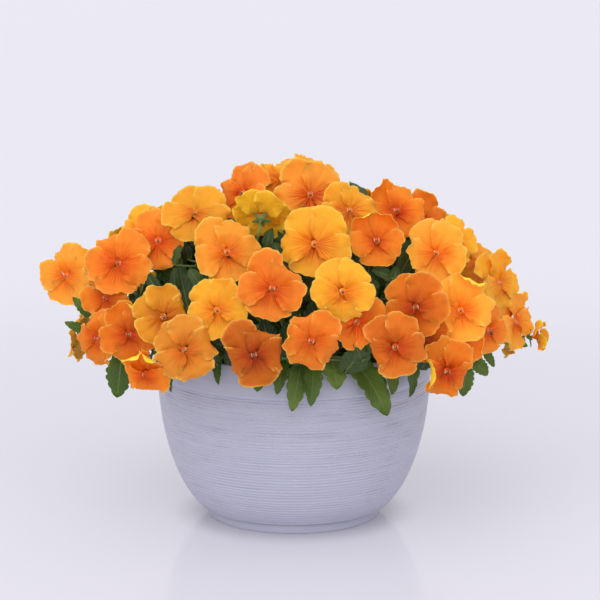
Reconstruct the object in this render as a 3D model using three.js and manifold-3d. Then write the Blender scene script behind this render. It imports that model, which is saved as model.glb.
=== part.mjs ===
// Potted pansy planter: three orange pansy plants grown into one mound in a ridged bowl.
// Millimetres, +Z up. The origin is the middle of the bowl's flat underside, on the ground, and
// the side first seen faces -Y.
import * as THREE from 'three';
import { mergeVertices } from 'three/addons/utils/BufferGeometryUtils.js';
import Module from 'manifold-3d';

const wasm = await Module();
wasm.setup();

// Driving dimensions
const RIM_R = 130;            // outer radius of the smooth collar under the rim
const RIM_Z = 168;            // height of the rim
const COLLAR_Z = 138;         // where the ridged bowl meets the collar
const FOOT_R = 80;
const FOOT_H = 9;
const WALL = 3.5;
const FLOOR_Z = 8.5;          // top of the bowl's floor
const RIDGES = 7;             // turned ridges, larger than life
const RIDGE_DEPTH = 1.5;
const FACETS = 24;            // sides of every turned ring
const REST_R = 36;            // the middle of the underside, which rests on the ground,
const FOOT_IN = 66;           // and the foot ring from here to FOOT_R, with a groove between
const GROOVE = 4;
const DRAINS = 5;
const DRAIN_R = 5;
const DRAIN_SIDES = 8;
const SOIL_Z = 152;           // soil at the wall
const SOIL_CROWN = 5;         // how much the soil stands higher in the middle
const GAP = 0.3;              // between pieces that touch
const PLANT_R = 52;           // how far each plant stands from the bowl's axis
const DOME_R = 207;           // the throats of the blooms lie on a dome of this radius,
const DOME_H = 150;           // this high above its widest level,
const DOME_Z = 175;           // which is this high above the ground
const LEAF_REACH = 0.74;      // the inner leaves lie on a smaller dome

// The near blooms and leaves are set out as they are seen from EYE: x and z on the upright plane
// through the bowl's axis, carried along the line of sight to their real depth.
const EYE = new THREE.Vector3(6, -3416, 966);

const COLOUR = {
  bowl: 0xaeacc1, soil: 0x3b2c22, leaf: 0x3f6b24,
  golden: 0xffb33a, light: 0xff9c36, orange: 0xff8a28, deep: 0xe06a14,
};

const rad = THREE.MathUtils.degToRad;
const vec = (x, y, z) => new THREE.Vector3(x, y, z);
const mix = (a, b, t) => a.clone().lerp(b, t);

// A repeatable draw between 0 and 1, one for each whole number.
function draw(seed) {
  const wave = Math.sin(seed * 12.9898) * 43758.5453;
  return wave - Math.floor(wave);
}

// ---- Solids from points, and their joins and cuts ----

function geometryOf({ points, faces }) {
  const geometry = new THREE.BufferGeometry();
  const coords = points.flatMap((p) => [p.x, p.y, p.z]);
  geometry.setAttribute('position', new THREE.Float32BufferAttribute(coords, 3));
  geometry.setIndex(faces.flat());
  return geometry;
}

function toSolid(geometry) {
  geometry.deleteAttribute('normal');
  geometry.deleteAttribute('uv');
  const merged = mergeVertices(geometry, 1e-3);
  return new wasm.Manifold(new wasm.Mesh({
    numProp: 3,
    vertProperties: new Float32Array(merged.attributes.position.array),
    triVerts: new Uint32Array(merged.index.array),
  }));
}

function fromSolid(solid) {
  const { vertProperties, triVerts, numProp } = solid.getMesh();
  const coords = [];
  for (let i = 0; i < vertProperties.length; i += numProp) {
    coords.push(vertProperties[i], vertProperties[i + 1], vertProperties[i + 2]);
  }
  const geometry = new THREE.BufferGeometry();
  geometry.setAttribute('position', new THREE.Float32BufferAttribute(coords, 3));
  geometry.setIndex([...triVerts]);
  return geometry;
}

const fuse = (solids) => solids.reduce((whole, next) => whole.add(next));

const planter = new THREE.Group();

function addPiece(name, geometry, colour, roughness) {
  geometry.computeVertexNormals();
  const material = new THREE.MeshStandardMaterial({ color: colour, roughness, metalness: 0 });
  const mesh = new THREE.Mesh(geometry, material);
  mesh.name = name;
  planter.add(mesh);
}

// A closed tube of three or more sides through a list of rings, each { at, r }.
function tube(rings, sides) {
  const points = [];
  const faces = [];
  let across = vec(0, 0, 0);
  rings.forEach(({ at, r }, i) => {
    const before = rings[Math.max(i - 1, 0)].at;
    const after = rings[Math.min(i + 1, rings.length - 1)].at;
    const along = after.clone().sub(before).normalize();
    if (i === 0) across = Math.abs(along.z) > 0.9 ? vec(1, 0, 0) : vec(0, 0, 1);
    across = across.clone().addScaledVector(along, -across.dot(along)).normalize();
    const third = along.clone().cross(across);
    for (let k = 0; k < sides; k += 1) {
      const turn = (2 * Math.PI * k) / sides;
      points.push(at.clone().addScaledVector(across, r * Math.cos(turn))
        .addScaledVector(third, r * Math.sin(turn)));
    }
    for (let k = 0; i > 0 && k < sides; k += 1) {
      const next = (k + 1) % sides;
      const low = (i - 1) * sides;
      const high = i * sides;
      faces.push([low + k, low + next, high + next], [low + k, high + next, high + k]);
    }
  });
  const last = (rings.length - 1) * sides;
  for (let k = 1; k < sides - 1; k += 1) {
    faces.push([0, k + 1, k], [last, last + k, last + k + 1]);
  }
  return { points, faces };
}

// ---- Bowl and soil ----

// The bowl's side is a quarter of an ellipse standing on the foot.
const SIDE_FROM = 64;
const SIDE_OUT = 63;
const SIDE_H = 140;
const sideRadius = (z) => SIDE_FROM + SIDE_OUT * Math.sqrt(1 - (1 - z / SIDE_H) ** 2);

const INSIDE_LEVELS = [130, 72, 30, FLOOR_Z];
const insideRadius = (z) => sideRadius(z) - RIDGE_DEPTH - WALL;

function turned(profile) {
  const outline = profile.map(([r, z]) => new THREE.Vector2(r, z));
  return new THREE.LatheGeometry(outline, FACETS).rotateX(Math.PI / 2);
}

function bowl() {
  const ridgeFrom = FOOT_H + 4;
  const pitch = (COLLAR_Z - 4 - ridgeFrom) / RIDGES;
  const grooveFrom = REST_R + 2;
  const grooveTo = FOOT_IN - 2;
  const profile = [[0, 0], [REST_R, 0], [grooveFrom, GROOVE], [grooveTo, GROOVE], [FOOT_IN, 0],
    [FOOT_R, 0], [FOOT_R, FOOT_H], [sideRadius(FOOT_H + 1), FOOT_H + 1]];
  for (let i = 0; i < RIDGES; i += 1) {
    const z = ridgeFrom + i * pitch;
    profile.push([sideRadius(z) - RIDGE_DEPTH, z], [sideRadius(z + pitch / 2), z + pitch / 2]);
  }
  profile.push([sideRadius(COLLAR_Z - 3) - 1, COLLAR_Z - 3], [RIM_R - 0.5, COLLAR_Z],
    [RIM_R, RIM_Z - 2], [RIM_R - 1, RIM_Z], [RIM_R - WALL, RIM_Z]);
  for (const z of INSIDE_LEVELS) profile.push([insideRadius(z), z]);
  profile.push([0, FLOOR_Z]);
  let solid = toSolid(turned(profile));
  const drainAt = (grooveFrom + grooveTo) / 2;
  for (let i = 0; i < DRAINS; i += 1) {
    const at = heading((360 * i) / DRAINS, 0).multiplyScalar(drainAt);
    const drain = new THREE.CylinderGeometry(DRAIN_R, DRAIN_R, 3 * FLOOR_Z, DRAIN_SIDES);
    solid = solid.subtract(toSolid(drain.rotateX(Math.PI / 2).translate(at.x, at.y, 0)));
  }
  return solid;
}

function soil(plants) {
  const bottom = FLOOR_Z + GAP;
  const profile = [[0, bottom]];
  for (const z of [...INSIDE_LEVELS].reverse()) {
    profile.push([insideRadius(z) - GAP, Math.max(z, bottom)]);
  }
  const wall = insideRadius(INSIDE_LEVELS[0]) - GAP;
  profile.push([wall, SOIL_Z], [wall / 2, SOIL_Z + 0.6 * SOIL_CROWN], [0, SOIL_Z + SOIL_CROWN]);
  let solid = toSolid(turned(profile));
  for (const { foot } of plants) {
    const hole = tube([{ at: vec(foot.x, foot.y, foot.z - GAP), r: STOCK_R + GAP },
      { at: vec(foot.x, foot.y, RIM_Z), r: STOCK_R + GAP }], STOCK_SIDES);
    solid = solid.subtract(toSolid(geometryOf(hole)));
  }
  return fromSolid(solid);
}

// ---- Where things are seen ----

// The point at depth y on the line of sight through (x, 0, z).
function seenAt(x, z, y) {
  const t = 1 - y / EYE.y;
  return EYE.clone().lerp(vec(x, 0, z), t);
}

// The point where that line meets the dome, or passes nearest to it.
function seenOnDome(x, z, reach) {
  const squash = (p) => vec(p.x / DOME_R, p.y / DOME_R, p.z / DOME_H);
  const dir = vec(x, 0, z).sub(EYE).normalize();
  const from = squash(EYE.clone().sub(vec(0, 0, DOME_Z)));
  const step = squash(dir);
  const a = step.dot(step);
  const b = from.dot(step);
  const c = from.dot(from) - reach * reach;
  const t = (-b - Math.sqrt(Math.max(b * b - a * c, 0))) / a;
  return EYE.clone().addScaledVector(dir, t);
}

// A compass direction: bearing 0 looks out of the front and grows to the right, lift is upwards.
function heading(bearing, lift) {
  const flat = Math.cos(rad(lift));
  return vec(Math.sin(rad(bearing)) * flat, -Math.cos(rad(bearing)) * flat, Math.sin(rad(lift)));
}

function domePoint(bearing, lift, reach) {
  const dir = heading(bearing, lift);
  return vec(dir.x * DOME_R, dir.y * DOME_R, dir.z * DOME_H).multiplyScalar(reach)
    .add(vec(0, 0, DOME_Z));
}

// ---- Room: what stands clear of what ----

const CLEAR = 0.4;            // what is placed is tried out this much thicker all round

function bodyOf(shape) {
  const solid = toSolid(geometryOf(shape));
  return { solid, box: new THREE.Box3().setFromPoints(shape.points) };
}

const meets = (one, two) => one.box.intersectsBox(two.box)
  && !one.solid.intersect(two.solid).isEmpty();
const allClear = (bodies, others) => bodies.every((a) => !others.some((b) => meets(a, b)));

// ---- Blooms ----

// Five petals round the throat, anticlockwise as seen: bearing of the petal, its length and half
// width as shares of the bloom, and the level and slope of its sheet towards the viewer.
const PETALS = [
  { at: 350, long: 0.50, wide: 0.24, level: 1.4, slope: 0.06 },
  { at: 62, long: 0.54, wide: 0.27, level: -1.6, slope: -0.06 },
  { at: 118, long: 0.54, wide: 0.27, level: -3.0, slope: -0.12 },
  { at: 190, long: 0.50, wide: 0.24, level: 1.4, slope: 0.06 },
  { at: 270, long: 0.47, wide: 0.31, level: -0.1, slope: 0 },
];
// The nub at the throat has a corner on each petal's right, with three levels. Of the two petals
// that meet there, one is rooted between the upper two levels and the other between the lower two.
const CORNERS = [
  { at: 310, levels: [2.0, 0.6, -0.7], over: 'left' },
  { at: 26, levels: [2.0, -0.2, -2.2], over: 'right' },
  { at: 90, levels: [-1.0, -2.3, -3.6], over: 'right' },
  { at: 154, levels: [2.0, -0.6, -3.6], over: 'left' },
  { at: 230, levels: [2.0, 0.6, -0.7], over: 'right' },
];
const THROAT = 0.07;          // radius of the throat as a share of the bloom
const PETAL_HALF = 0.6;       // half the thickness of a petal
const PETAL_FROM = 0.11;      // where a petal has left the throat, as a share of the bloom
const RUFFLE = 1.0;           // how far the petal's rim waves
const RIM_POINTS = 6;
const RIM_SWEEP = 140;        // the rim runs this far to each side of the petal's end
const THROAT_FRONT = 3.2;     // the eye stands this far forward,
const BLOOM_BACK = 8;         // and the nub that sits in the calyx this far behind

// The bloom's own axes: u to the right, v up and n out of its face.
function bloomAxes({ turn, tilt, roll }) {
  const n = heading(turn, tilt);
  const right = vec(Math.cos(rad(turn)), Math.sin(rad(turn)), 0);
  const up = n.clone().cross(right);
  const c = Math.cos(rad(roll));
  const s = Math.sin(rad(roll));
  return {
    n,
    u: right.clone().multiplyScalar(c).addScaledVector(up, -s),
    v: right.clone().multiplyScalar(s).addScaledVector(up, c),
  };
}

// One closed sheet: each petal is a fan round its heart, on its face and alike on its back, and
// its root is an opening in the side of the throat's nub.
function bloomShape(bloom, extra = 0) {
  const { n, u, v } = bloomAxes(bloom);
  const rimPoints = bloom.rimPoints ?? RIM_POINTS;
  const half = PETAL_HALF + extra;
  const size = bloom.size + 3 * extra;
  const points = [];
  const faces = [];
  const put = (bearing, out, level) => {
    points.push(bloom.at.clone().addScaledVector(u, out * Math.cos(bearing))
      .addScaledVector(v, out * Math.sin(bearing)).addScaledVector(n, level));
    return points.length - 1;
  };
  const wall = (a, b, c, d) => {
    if (a !== b) faces.push([a, b, c]);
    if (c !== d) faces.push([a, c, d]);
  };
  const front = put(0, 0, THROAT_FRONT);
  const back = put(0, 0, -BLOOM_BACK);
  const corners = CORNERS.map(({ at, levels, over }) => {
    const [top, middle, low] = levels.map((level) => put(rad(at), THROAT * bloom.size, level));
    const root = (side) => (side === over ? [top, middle] : [middle, low]);
    return { top, low, root };
  });
  PETALS.forEach((petal, i) => {
    const right = corners[i];
    const left = corners[(i + 1) % corners.length];
    const [rightTop, rightLow] = right.root('left');
    const [leftTop, leftLow] = left.root('right');
    faces.push([front, right.top, left.top], [back, left.low, right.low]);
    wall(right.top, rightTop, leftTop, left.top);
    wall(rightLow, right.low, left.low, leftLow);
    const middle = (PETAL_FROM + petal.long) / 2;
    const reach = (petal.long - PETAL_FROM) / 2;
    const rim = [];
    for (let k = 0; k < rimPoints; k += 1) {
      const turn = rad(RIM_SWEEP * ((2 * k) / (rimPoints - 1) - 1));
      const p = (middle + reach * Math.cos(turn)) * size;
      const q = petal.wide * Math.sin(turn) * size;
      const wave = RUFFLE * (k % 2 ? 1 : -1);
      rim.push(put(rad(petal.at) + Math.atan2(q, p), Math.hypot(p, q),
        petal.level + petal.slope * p + wave));
    }
    const level = petal.level + petal.slope * middle * bloom.size;
    const heart = [half, -half].map((off) => put(rad(petal.at), middle * bloom.size, level + off));
    const top = [rightTop, ...rim, leftTop];
    const low = [rightLow, ...rim, leftLow];
    top.forEach((_, k) => {
      const next = (k + 1) % top.length;
      faces.push([heart[0], top[k], top[next]], [heart[1], low[next], low[k]]);
    });
    faces.push([rightTop, rightLow, rim[0]], [leftLow, leftTop, rim[rimPoints - 1]]);
  });
  return { points, faces };
}

// The near blooms, the nearest first. x and z are where the throat is seen, size is the bloom's
// height, turn and tilt say which way it faces, and roll leans its top to the right.
const NEAR_BLOOMS = [
  { x: 142, z: 134, size: 56, turn: 20, tilt: -5, roll: 10, hue: 'deep' },
  { x: -101, z: 154, size: 60, turn: -12, tilt: 4, roll: -32, hue: 'light' },
  { x: -71, z: 192, size: 54, turn: -5, tilt: 14, roll: -10, hue: 'golden' },
  { x: 45, z: 210, size: 58, turn: 3, tilt: 14, roll: 5, hue: 'golden' },
  { x: -20, z: 213, size: 62, turn: -3, tilt: 10, roll: 10, hue: 'orange' },
  { x: 154, z: 192, size: 64, turn: 12, tilt: 12, roll: -8, hue: 'light' },
  { x: -121, z: 186, size: 56, turn: 5, tilt: 6, roll: -30, hue: 'golden' },
  { x: -37, z: 150, size: 62, turn: -6, tilt: 2, roll: -12, hue: 'deep' },
  { x: 16, z: 163, size: 56, turn: 0, tilt: 5, roll: 15, hue: 'orange' },
  { x: 94, z: 157, size: 58, turn: 8, tilt: 5, roll: -8, hue: 'orange' },
  { x: -153, z: 169, size: 56, turn: -15, tilt: 5, roll: -5, hue: 'deep' },
  { x: 58, z: 181, size: 54, turn: 10, tilt: -2, roll: 40, hue: 'orange' },
  { x: 113, z: 195, size: 60, turn: -5, tilt: 5, roll: -10, hue: 'deep' },
  { x: -62, z: 247, size: 62, turn: 8, tilt: 20, roll: -10, hue: 'light' },
  { x: 19, z: 255, size: 66, turn: 0, tilt: 16, roll: 5, hue: 'golden' },
  { x: -182, z: 165, size: 54, turn: -45, tilt: 5, roll: 5, hue: 'deep' },
  { x: -138, z: 131, size: 50, turn: -15, tilt: -15, roll: 0, hue: 'deep' },
  { x: -210, z: 225, size: 60, turn: -35, tilt: 12, roll: 5, hue: 'light' },
  { x: -162, z: 237, size: 64, turn: -15, tilt: 10, roll: 5, hue: 'orange' },
  { x: 131, z: 246, size: 60, turn: 15, tilt: 15, roll: 10, hue: 'light' },
  { x: 76, z: 258, size: 52, turn: 10, tilt: 25, roll: 0, hue: 'deep' },
  { x: 15, z: 301, size: 64, turn: 3, tilt: 25, roll: 0, hue: 'light' },
  { x: -91, z: 283, size: 62, turn: -12, tilt: 45, roll: 0, hue: 'golden' },
  { x: -174, z: 204, size: 52, turn: -30, tilt: 5, roll: 0, hue: 'deep' },
  { x: 189, z: 218, size: 58, turn: 55, tilt: 10, roll: 0, hue: 'golden' },
  { x: 154, z: 159, size: 52, turn: 35, tilt: 5, roll: 0, hue: 'orange' },
  { x: 122, z: 164, size: 44, turn: 12, tilt: 6, roll: 20, hue: 'deep' },
  { x: 180, z: 173, size: 46, turn: 45, tilt: 0, roll: 0, hue: 'orange' },
  { x: 205, z: 181, size: 56, turn: 60, tilt: 5, roll: 0, hue: 'light' },
  { x: -29, z: 283, size: 56, turn: 170, tilt: 25, roll: 0, hue: 'golden' },
  { x: 51, z: 286, size: 54, turn: 10, tilt: 30, roll: 0, hue: 'golden' },
  { x: 149, z: 258, size: 48, turn: 40, tilt: 20, roll: 0, hue: 'golden' },
  { x: 94, z: 286, size: 56, turn: 20, tilt: 30, roll: 0, hue: 'deep' },
  { x: 117, z: 278, size: 54, turn: 25, tilt: 40, roll: 0, hue: 'deep' },
  { x: -125, z: 258, size: 58, turn: -10, tilt: 20, roll: 0, hue: 'orange' },
  { x: 171, z: 234, size: 46, turn: 40, tilt: 20, roll: 0, hue: 'light' },
  { x: -47, z: 303, size: 56, turn: -40, tilt: 20, roll: 0, hue: 'orange' },
  { x: -11, z: 315, size: 52, turn: -10, tilt: 35, roll: 20, hue: 'golden' },
  { x: 10, z: 319, size: 56, turn: 15, tilt: 40, roll: 0, hue: 'light' },
  { x: 227, z: 167, size: 30, turn: 80, tilt: 0, roll: 0, hue: 'golden' },
  { x: -141, z: 268, size: 47, turn: -30, tilt: 30, roll: 0, hue: 'golden' },
];

// The far side carries bunches of three blooms that touch, in rings round the back of the dome:
// two side by side, and the third above them or, in the ring that fits between, below them. A
// ring's reach says how far out on the dome its bunches lie.
const FAR_RINGS = [
  { lift: -3, tilt: 6, bearings: [104, 142, 180, 218, 256], third: 0.78, reach: 0.97 },
  { lift: 31, tilt: 30, bearings: [123, 161, 199, 237], third: -0.74, reach: 0.95 },
  { lift: 52, tilt: 72, bearings: [106, 153, 207, 254], third: 0.74, reach: 0.9 },
];
const FAR_RIM_POINTS = 5;
const RING_SEEDS = 24;        // numbers set aside for the chances of one ring
const BUNCH_SEEDS = 4;        // and of one bunch
const BUNCH_SPACING = 0.77;   // between the throats of a bunch, as a share of the bloom
const BUNCH_ANGLE = 10;       // between the faces of a bunch
const FAR_SIZE = 56;          // the smallest bloom there, and how much larger they may be
const FAR_SIZE_MORE = 6;
const FAR_ROLL = 12;          // how far a bloom's top may lean to either side
const BUNCH_ROLL = 14;        // and how far a whole bunch may

function farBunch(bearing, { lift, tilt, third, reach }, seed) {
  const size = FAR_SIZE + FAR_SIZE_MORE * draw(seed);
  const middle = domePoint(bearing, lift, reach);
  const { u, v } = bloomAxes({ turn: bearing, tilt, roll: BUNCH_ROLL * (2 * draw(seed + 0.5) - 1) });
  return [[-0.5, 0], [0.5, 0], [0, third]].map(([across, up], k) => ({
    size,
    rimPoints: FAR_RIM_POINTS,
    turn: bearing + BUNCH_ANGLE * across,
    tilt: tilt - BUNCH_ANGLE * Math.abs(up),
    roll: FAR_ROLL * (2 * draw(seed + k + 1) - 1),
    at: middle.clone().addScaledVector(u, BUNCH_SPACING * size * across)
      .addScaledVector(v, BUNCH_SPACING * size * up),
  }));
}

// ---- Plants: stocks and leafy stems ----

const PLANT_BEARINGS = [0, 120, 240];
const STOCK_R = 5;
const STOCK_SIDES = 6;
const STOCK_DEPTH = 24;
const CROWN_H = 16;           // the stock's top above the soil at the wall
const STEM_ROOT = 4;          // how far the stems are sunk into it
const STEM_BOW = 12;          // how much a stem bows upwards half way
// Bearing from the plant's own, and lift, of the tips of its stems.
const STEM_FAN = [[-50, 8], [0, 2], [50, 8], [-34, 48], [34, 48], [0, 84]];
const STEM_REACH = 0.66;
const STEM_STEPS = 5;
const JOINT_SHARES = [0.2, 0.5, 0.8];  // where a length of stem carries leaves and stalks
const STEM_R = 2.8;
const STEM_SIDES = 3;
const STEM_TAPER = 0.2;       // how much thinner a stem gets at every step

function makePlant(bearing) {
  const foot = heading(bearing, 0).multiplyScalar(PLANT_R).setZ(SOIL_Z - STOCK_DEPTH);
  const crown = foot.clone().setZ(SOIL_Z + CROWN_H);
  const shapes = [tube([{ at: foot, r: STOCK_R }, { at: crown, r: STOCK_R - 1 }], STOCK_SIDES)];
  const joints = [];
  for (const [swing, lift] of STEM_FAN) {
    const tip = domePoint(bearing + swing, lift, STEM_REACH);
    const bend = mix(crown, tip, 0.45).setZ((crown.z + tip.z) / 2 + STEM_BOW);
    const root = crown.clone().setZ(crown.z - STEM_ROOT);
    const curve = new THREE.QuadraticBezierCurve3(root, bend, tip);
    const rings = curve.getPoints(STEM_STEPS)
      .map((at, i) => ({ at, r: STEM_R - STEM_TAPER * i }));
    shapes.push(tube(rings, STEM_SIDES));
    for (let i = 1; i < STEM_STEPS; i += 1) {
      for (const share of JOINT_SHARES) joints.push(mix(rings[i].at, rings[i + 1].at, share));
    }
  }
  return { foot, shapes, joints, bodies: shapes.map(bodyOf) };
}

// Adds what grows at a joint, which then carries nothing more.
function grow(plant, joint, shapes) {
  plant.joints = plant.joints.filter((other) => other !== joint);
  plant.shapes.push(...shapes);
  plant.bodies.push(...shapes.map(bodyOf));
}

// The joints of all plants from the nearest to the farthest, each with its plant.
const JOINTS_TRIED = 24;
function nearJoints(point, plants) {
  const all = plants.flatMap((plant) => plant.joints.map((joint) => ({ plant, joint })));
  all.sort((a, b) => a.joint.distanceTo(point) - b.joint.distanceTo(point));
  return all.slice(0, JOINTS_TRIED);
}

const strangersOf = (plant, plants) => plants.filter((other) => other !== plant)
  .flatMap((other) => other.bodies);

// ---- Flower stalks ----

const STALK_R = 1.2;
const CALYX_R = 4;
const CALYX_H = 6;

// The ways a stalk may go: how far it runs straight behind the bloom, then drops and swings.
const ROUTES = [];
for (const swing of [0, -16, 16, -32, 32]) {
  for (const drop of [6, 20, 36, 0]) {
    for (const run of [16, 24, 12]) ROUTES.push({ run, drop, swing });
  }
}

function stalkShape(bloom, joint, { run, drop, swing }, extra = 0) {
  const { n } = bloomAxes(bloom);
  const right = vec(-n.y, n.x, 0).normalize();
  const seat = BLOOM_BACK + GAP;
  const behind = (depth) => bloom.at.clone().addScaledVector(n, -seat - depth);
  const elbow = behind(run).addScaledVector(right, swing).add(vec(0, 0, -drop));
  return tube([
    { at: joint, r: STALK_R + extra },
    { at: elbow, r: STALK_R + extra },
    { at: behind(CALYX_H), r: STALK_R + extra },
    { at: behind(0), r: CALYX_R },
  ], 3);
}

// The stalk that is clear of all blooms and of other plants, and crosses least of its own plant.
function findStalk(bloom, plants, blooms) {
  let best = null;
  for (const { plant, joint } of nearJoints(bloom.at, plants)) {
    const strangers = strangersOf(plant, plants);
    for (const route of ROUTES) {
      const tried = bodyOf(stalkShape(bloom, joint, route, CLEAR));
      if (!allClear([tried], blooms) || !allClear([tried], strangers)) continue;
      const crossed = plant.bodies.filter((body) => meets(tried, body)).length;
      if (best && best.crossed <= crossed) continue;
      best = { plant, joint, crossed, shape: stalkShape(bloom, joint, route) };
      if (crossed <= 1) return best;
    }
  }
  return best;
}

// Sets one bloom or a bunch down as near to its place as there is room, moving it by short steps.
const SETTLE_STEP = 3;
const SETTLE_MOST = 30;
function settle(blooms, away, plants, placed) {
  const green = () => plants.flatMap((plant) => plant.bodies);
  for (let step = 0; step < SETTLE_MOST; step += 1) {
    const moved = blooms.map((bloom) => (
      { ...bloom, at: bloom.at.clone().addScaledVector(away, SETTLE_STEP * step) }));
    const tried = moved.map((bloom) => bodyOf(bloomShape(bloom, CLEAR)));
    if (!allClear(tried, placed) || !allClear(tried, green())) continue;
    const bodies = moved.map((bloom) => bodyOf(bloomShape(bloom)));
    const stalks = moved.map((bloom) => findStalk(bloom, plants, [...placed, ...bodies]));
    if (stalks.includes(null)) continue;
    placed.push(...bodies);
    for (const { plant, joint, shape } of stalks) grow(plant, joint, [shape]);
    return moved;
  }
  return null;
}

// ---- Leaves ----

const LEAF_HALF = 0.8;        // half the thickness of a leaf at its heart
const HEART_AT = 0.42;        // the heart's place along the blade
const LEAF_SIDE_POINTS = 5;
const TOOTH = 0.17;           // depth of the teeth as a share of the half width
const LEAF_WAVE = 0.8;
const PETIOLE = 1.2;          // half width of a leaf's own stalk

// A blade's own axes, and a point of it by its share of the length, its place across and level.
function bladePlace({ base, tip, face, arch }) {
  const along = tip.clone().sub(base);
  const long = along.length();
  along.normalize();
  const n = face.clone().addScaledVector(along, -face.dot(along)).normalize();
  const side = along.clone().cross(n);
  return (share, across, level) => base.clone().addScaledVector(along, share * long)
    .addScaledVector(side, across)
    .addScaledVector(n, level + arch * long * 4 * share * (1 - share));
}

// The blade is a fan round its heart, on its face and alike on its back, toothed and arched. Its
// base is open to a three-sided stalk that runs to the joint, or is closed where there is none.
function leafShape(leaf, joint, extra = 0) {
  const at = bladePlace(leaf);
  const half = (share) => 0.5 * leaf.wide * Math.sin(Math.PI * share ** 0.8) ** 0.8;
  const edge = (way, k) => at(k / (LEAF_SIDE_POINTS + 1),
    way * (half(k / (LEAF_SIDE_POINTS + 1)) * (k % 2 ? 1 : 1 - TOOTH) + extra),
    LEAF_WAVE * (k % 2 ? 1 : -1));
  const rim = [at(0, PETIOLE, 0)];
  for (let k = 1; k <= LEAF_SIDE_POINTS; k += 1) rim.push(edge(1, k));
  rim.push(at(1, 0, 0));
  for (let k = LEAF_SIDE_POINTS; k >= 1; k -= 1) rim.push(edge(-1, k));
  rim.push(at(0, -PETIOLE, 0));
  const last = rim.length - 1;
  const [top, low, ridge] = [last + 1, last + 2, last + 3];
  const points = [...rim, at(HEART_AT, 0, LEAF_HALF + extra), at(HEART_AT, 0, -LEAF_HALF - extra),
    at(0, 0, PETIOLE)];
  const faces = [];
  for (let k = 0; k < last; k += 1) faces.push([top, k, k + 1], [low, k + 1, k]);
  faces.push([top, last, ridge], [top, ridge, 0], [low, 0, last]);
  const open = [0, ridge, last];
  if (!joint) {
    faces.push(open);
    return { points, faces };
  }
  const shift = joint.clone().sub(leaf.base);
  const far = open.map((index) => points.push(points[index].clone().add(shift)) - 1);
  open.forEach((near, k) => {
    const next = (k + 1) % open.length;
    faces.push([near, open[next], far[next]], [near, far[next], far[k]]);
  });
  faces.push(far);
  return { points, faces };
}

// Grows a leaf from the nearest joint behind it that leaves it clear of everything else, moving
// the leaf by short steps where there is no room for it.
const LEAF_STEP = 4;
const LEAF_STEPS = 7;
const BEHIND = 0.25;          // how squarely the joint has to lie behind the blade

function growLeaf(leaf, plants, others) {
  const all = [...plants.flatMap((plant) => plant.bodies), ...others];
  for (let step = 0; step < LEAF_STEPS; step += 1) {
    const shift = leaf.away.clone().multiplyScalar(LEAF_STEP * step);
    const moved = { ...leaf, base: leaf.base.clone().add(shift), tip: leaf.tip.clone().add(shift) };
    if (!allClear([bodyOf(leafShape(moved, null, CLEAR))], all)) continue;
    const along = moved.tip.clone().sub(moved.base).normalize();
    let best = null;
    for (const { plant, joint } of nearJoints(moved.base, plants)) {
      const back = moved.base.clone().sub(joint);
      if (back.dot(along) < BEHIND * back.length()) continue;
      const strangers = [...strangersOf(plant, plants), ...others];
      const tried = bodyOf(leafShape(moved, joint, CLEAR));
      if (!allClear([tried], strangers)) continue;
      const crossed = plant.bodies.filter((body) => meets(tried, body)).length;
      if (!best || crossed < best.crossed) best = { plant, joint, crossed };
    }
    if (best) {
      grow(best.plant, best.joint, [leafShape(moved, best.joint)]);
      return true;
    }
  }
  return false;
}

// Leaves that show: over the rim, and in the gaps between the blooms. Base and tip as seen.
const RIM_LEAVES = [
  { base: [-103, 146], tip: [-114, 114], wide: 9 },
  { base: [-68, 148], tip: [-70, 121], wide: 10 },
  { base: [-27, 146], tip: [-34, 114], wide: 24 },
  { base: [-8, 148], tip: [-16, 111], wide: 14 },
  { base: [8, 147], tip: [-2, 95], wide: 20 },
  { base: [18, 147], tip: [15, 101], wide: 18 },
  { base: [34, 150], tip: [40, 116], wide: 24 },
  { base: [50, 150], tip: [86, 91], wide: 30 },
  { base: [83, 146], tip: [88, 112], wide: 18 },
  { base: [103, 147], tip: [107, 109], wide: 20 },
];
const SIDE_LEAVES = [
  { base: [-159, 152], tip: [-164, 109], wide: 27, y: -70 },
  { base: [-186, 185], tip: [-205, 205], wide: 11, y: -40 },
  { base: [-190, 172], tip: [-213, 181], wide: 10, y: -30 },
  { base: [161, 140], tip: [157, 109], wide: 17, y: -80 },
  { base: [166, 146], tip: [180, 130], wide: 15, y: -60 },
  { base: [176, 156], tip: [186, 138], wide: 9, y: -50 },
  { base: [196, 163], tip: [218, 155], wide: 10, y: -30 },
];
const GAP_LEAVES = [
  { base: [-96, 184], tip: [-107, 237], wide: 26 },
  { base: [5, 216], tip: [-20, 249], wide: 24 },
  { base: [84, 202], tip: [109, 247], wide: 30 },
  { base: [84, 216], tip: [75, 251], wide: 20 },
  { base: [-22, 154], tip: [-29, 184], wide: 22 },
  { base: [-73, 142], tip: [-84, 165], wide: 14 },
];
const GAP_REACH = 0.82;
const GAP_LEAN = 0.14;        // how much deeper the leaf's base lies than its tip
const INNER_LEAVES = 48;      // tried by rule; those that find room stay
const GOLDEN_ANGLE = 137.508;
const LEAF_LEAN = 38;         // how far an inner leaf leans out of the dome's surface
const LEAF_SWING = 50;        // how far it may lean to either side
const LEAF_LONG_HALF = 20;    // half the length of the smallest, and how much more it may be
const LEAF_LONG_MORE = 6;

const outwards = (point) => vec(point.x, point.y, 0).normalize();

function rimLeaf({ base, tip, wide }) {
  const onRing = ([x, z], r) => seenAt(x, z, -Math.sqrt(r * r - x * x));
  const from = onRing(base, RIM_R - 6);
  from.setZ(Math.max(from.z, RIM_Z + 8));
  const to = onRing(tip, RIM_R + 15);
  const face = outwards(to).add(vec(0, 0, 0.25));
  return { base: from, tip: to, face, wide, arch: 0.12, away: outwards(to) };
}

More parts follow.
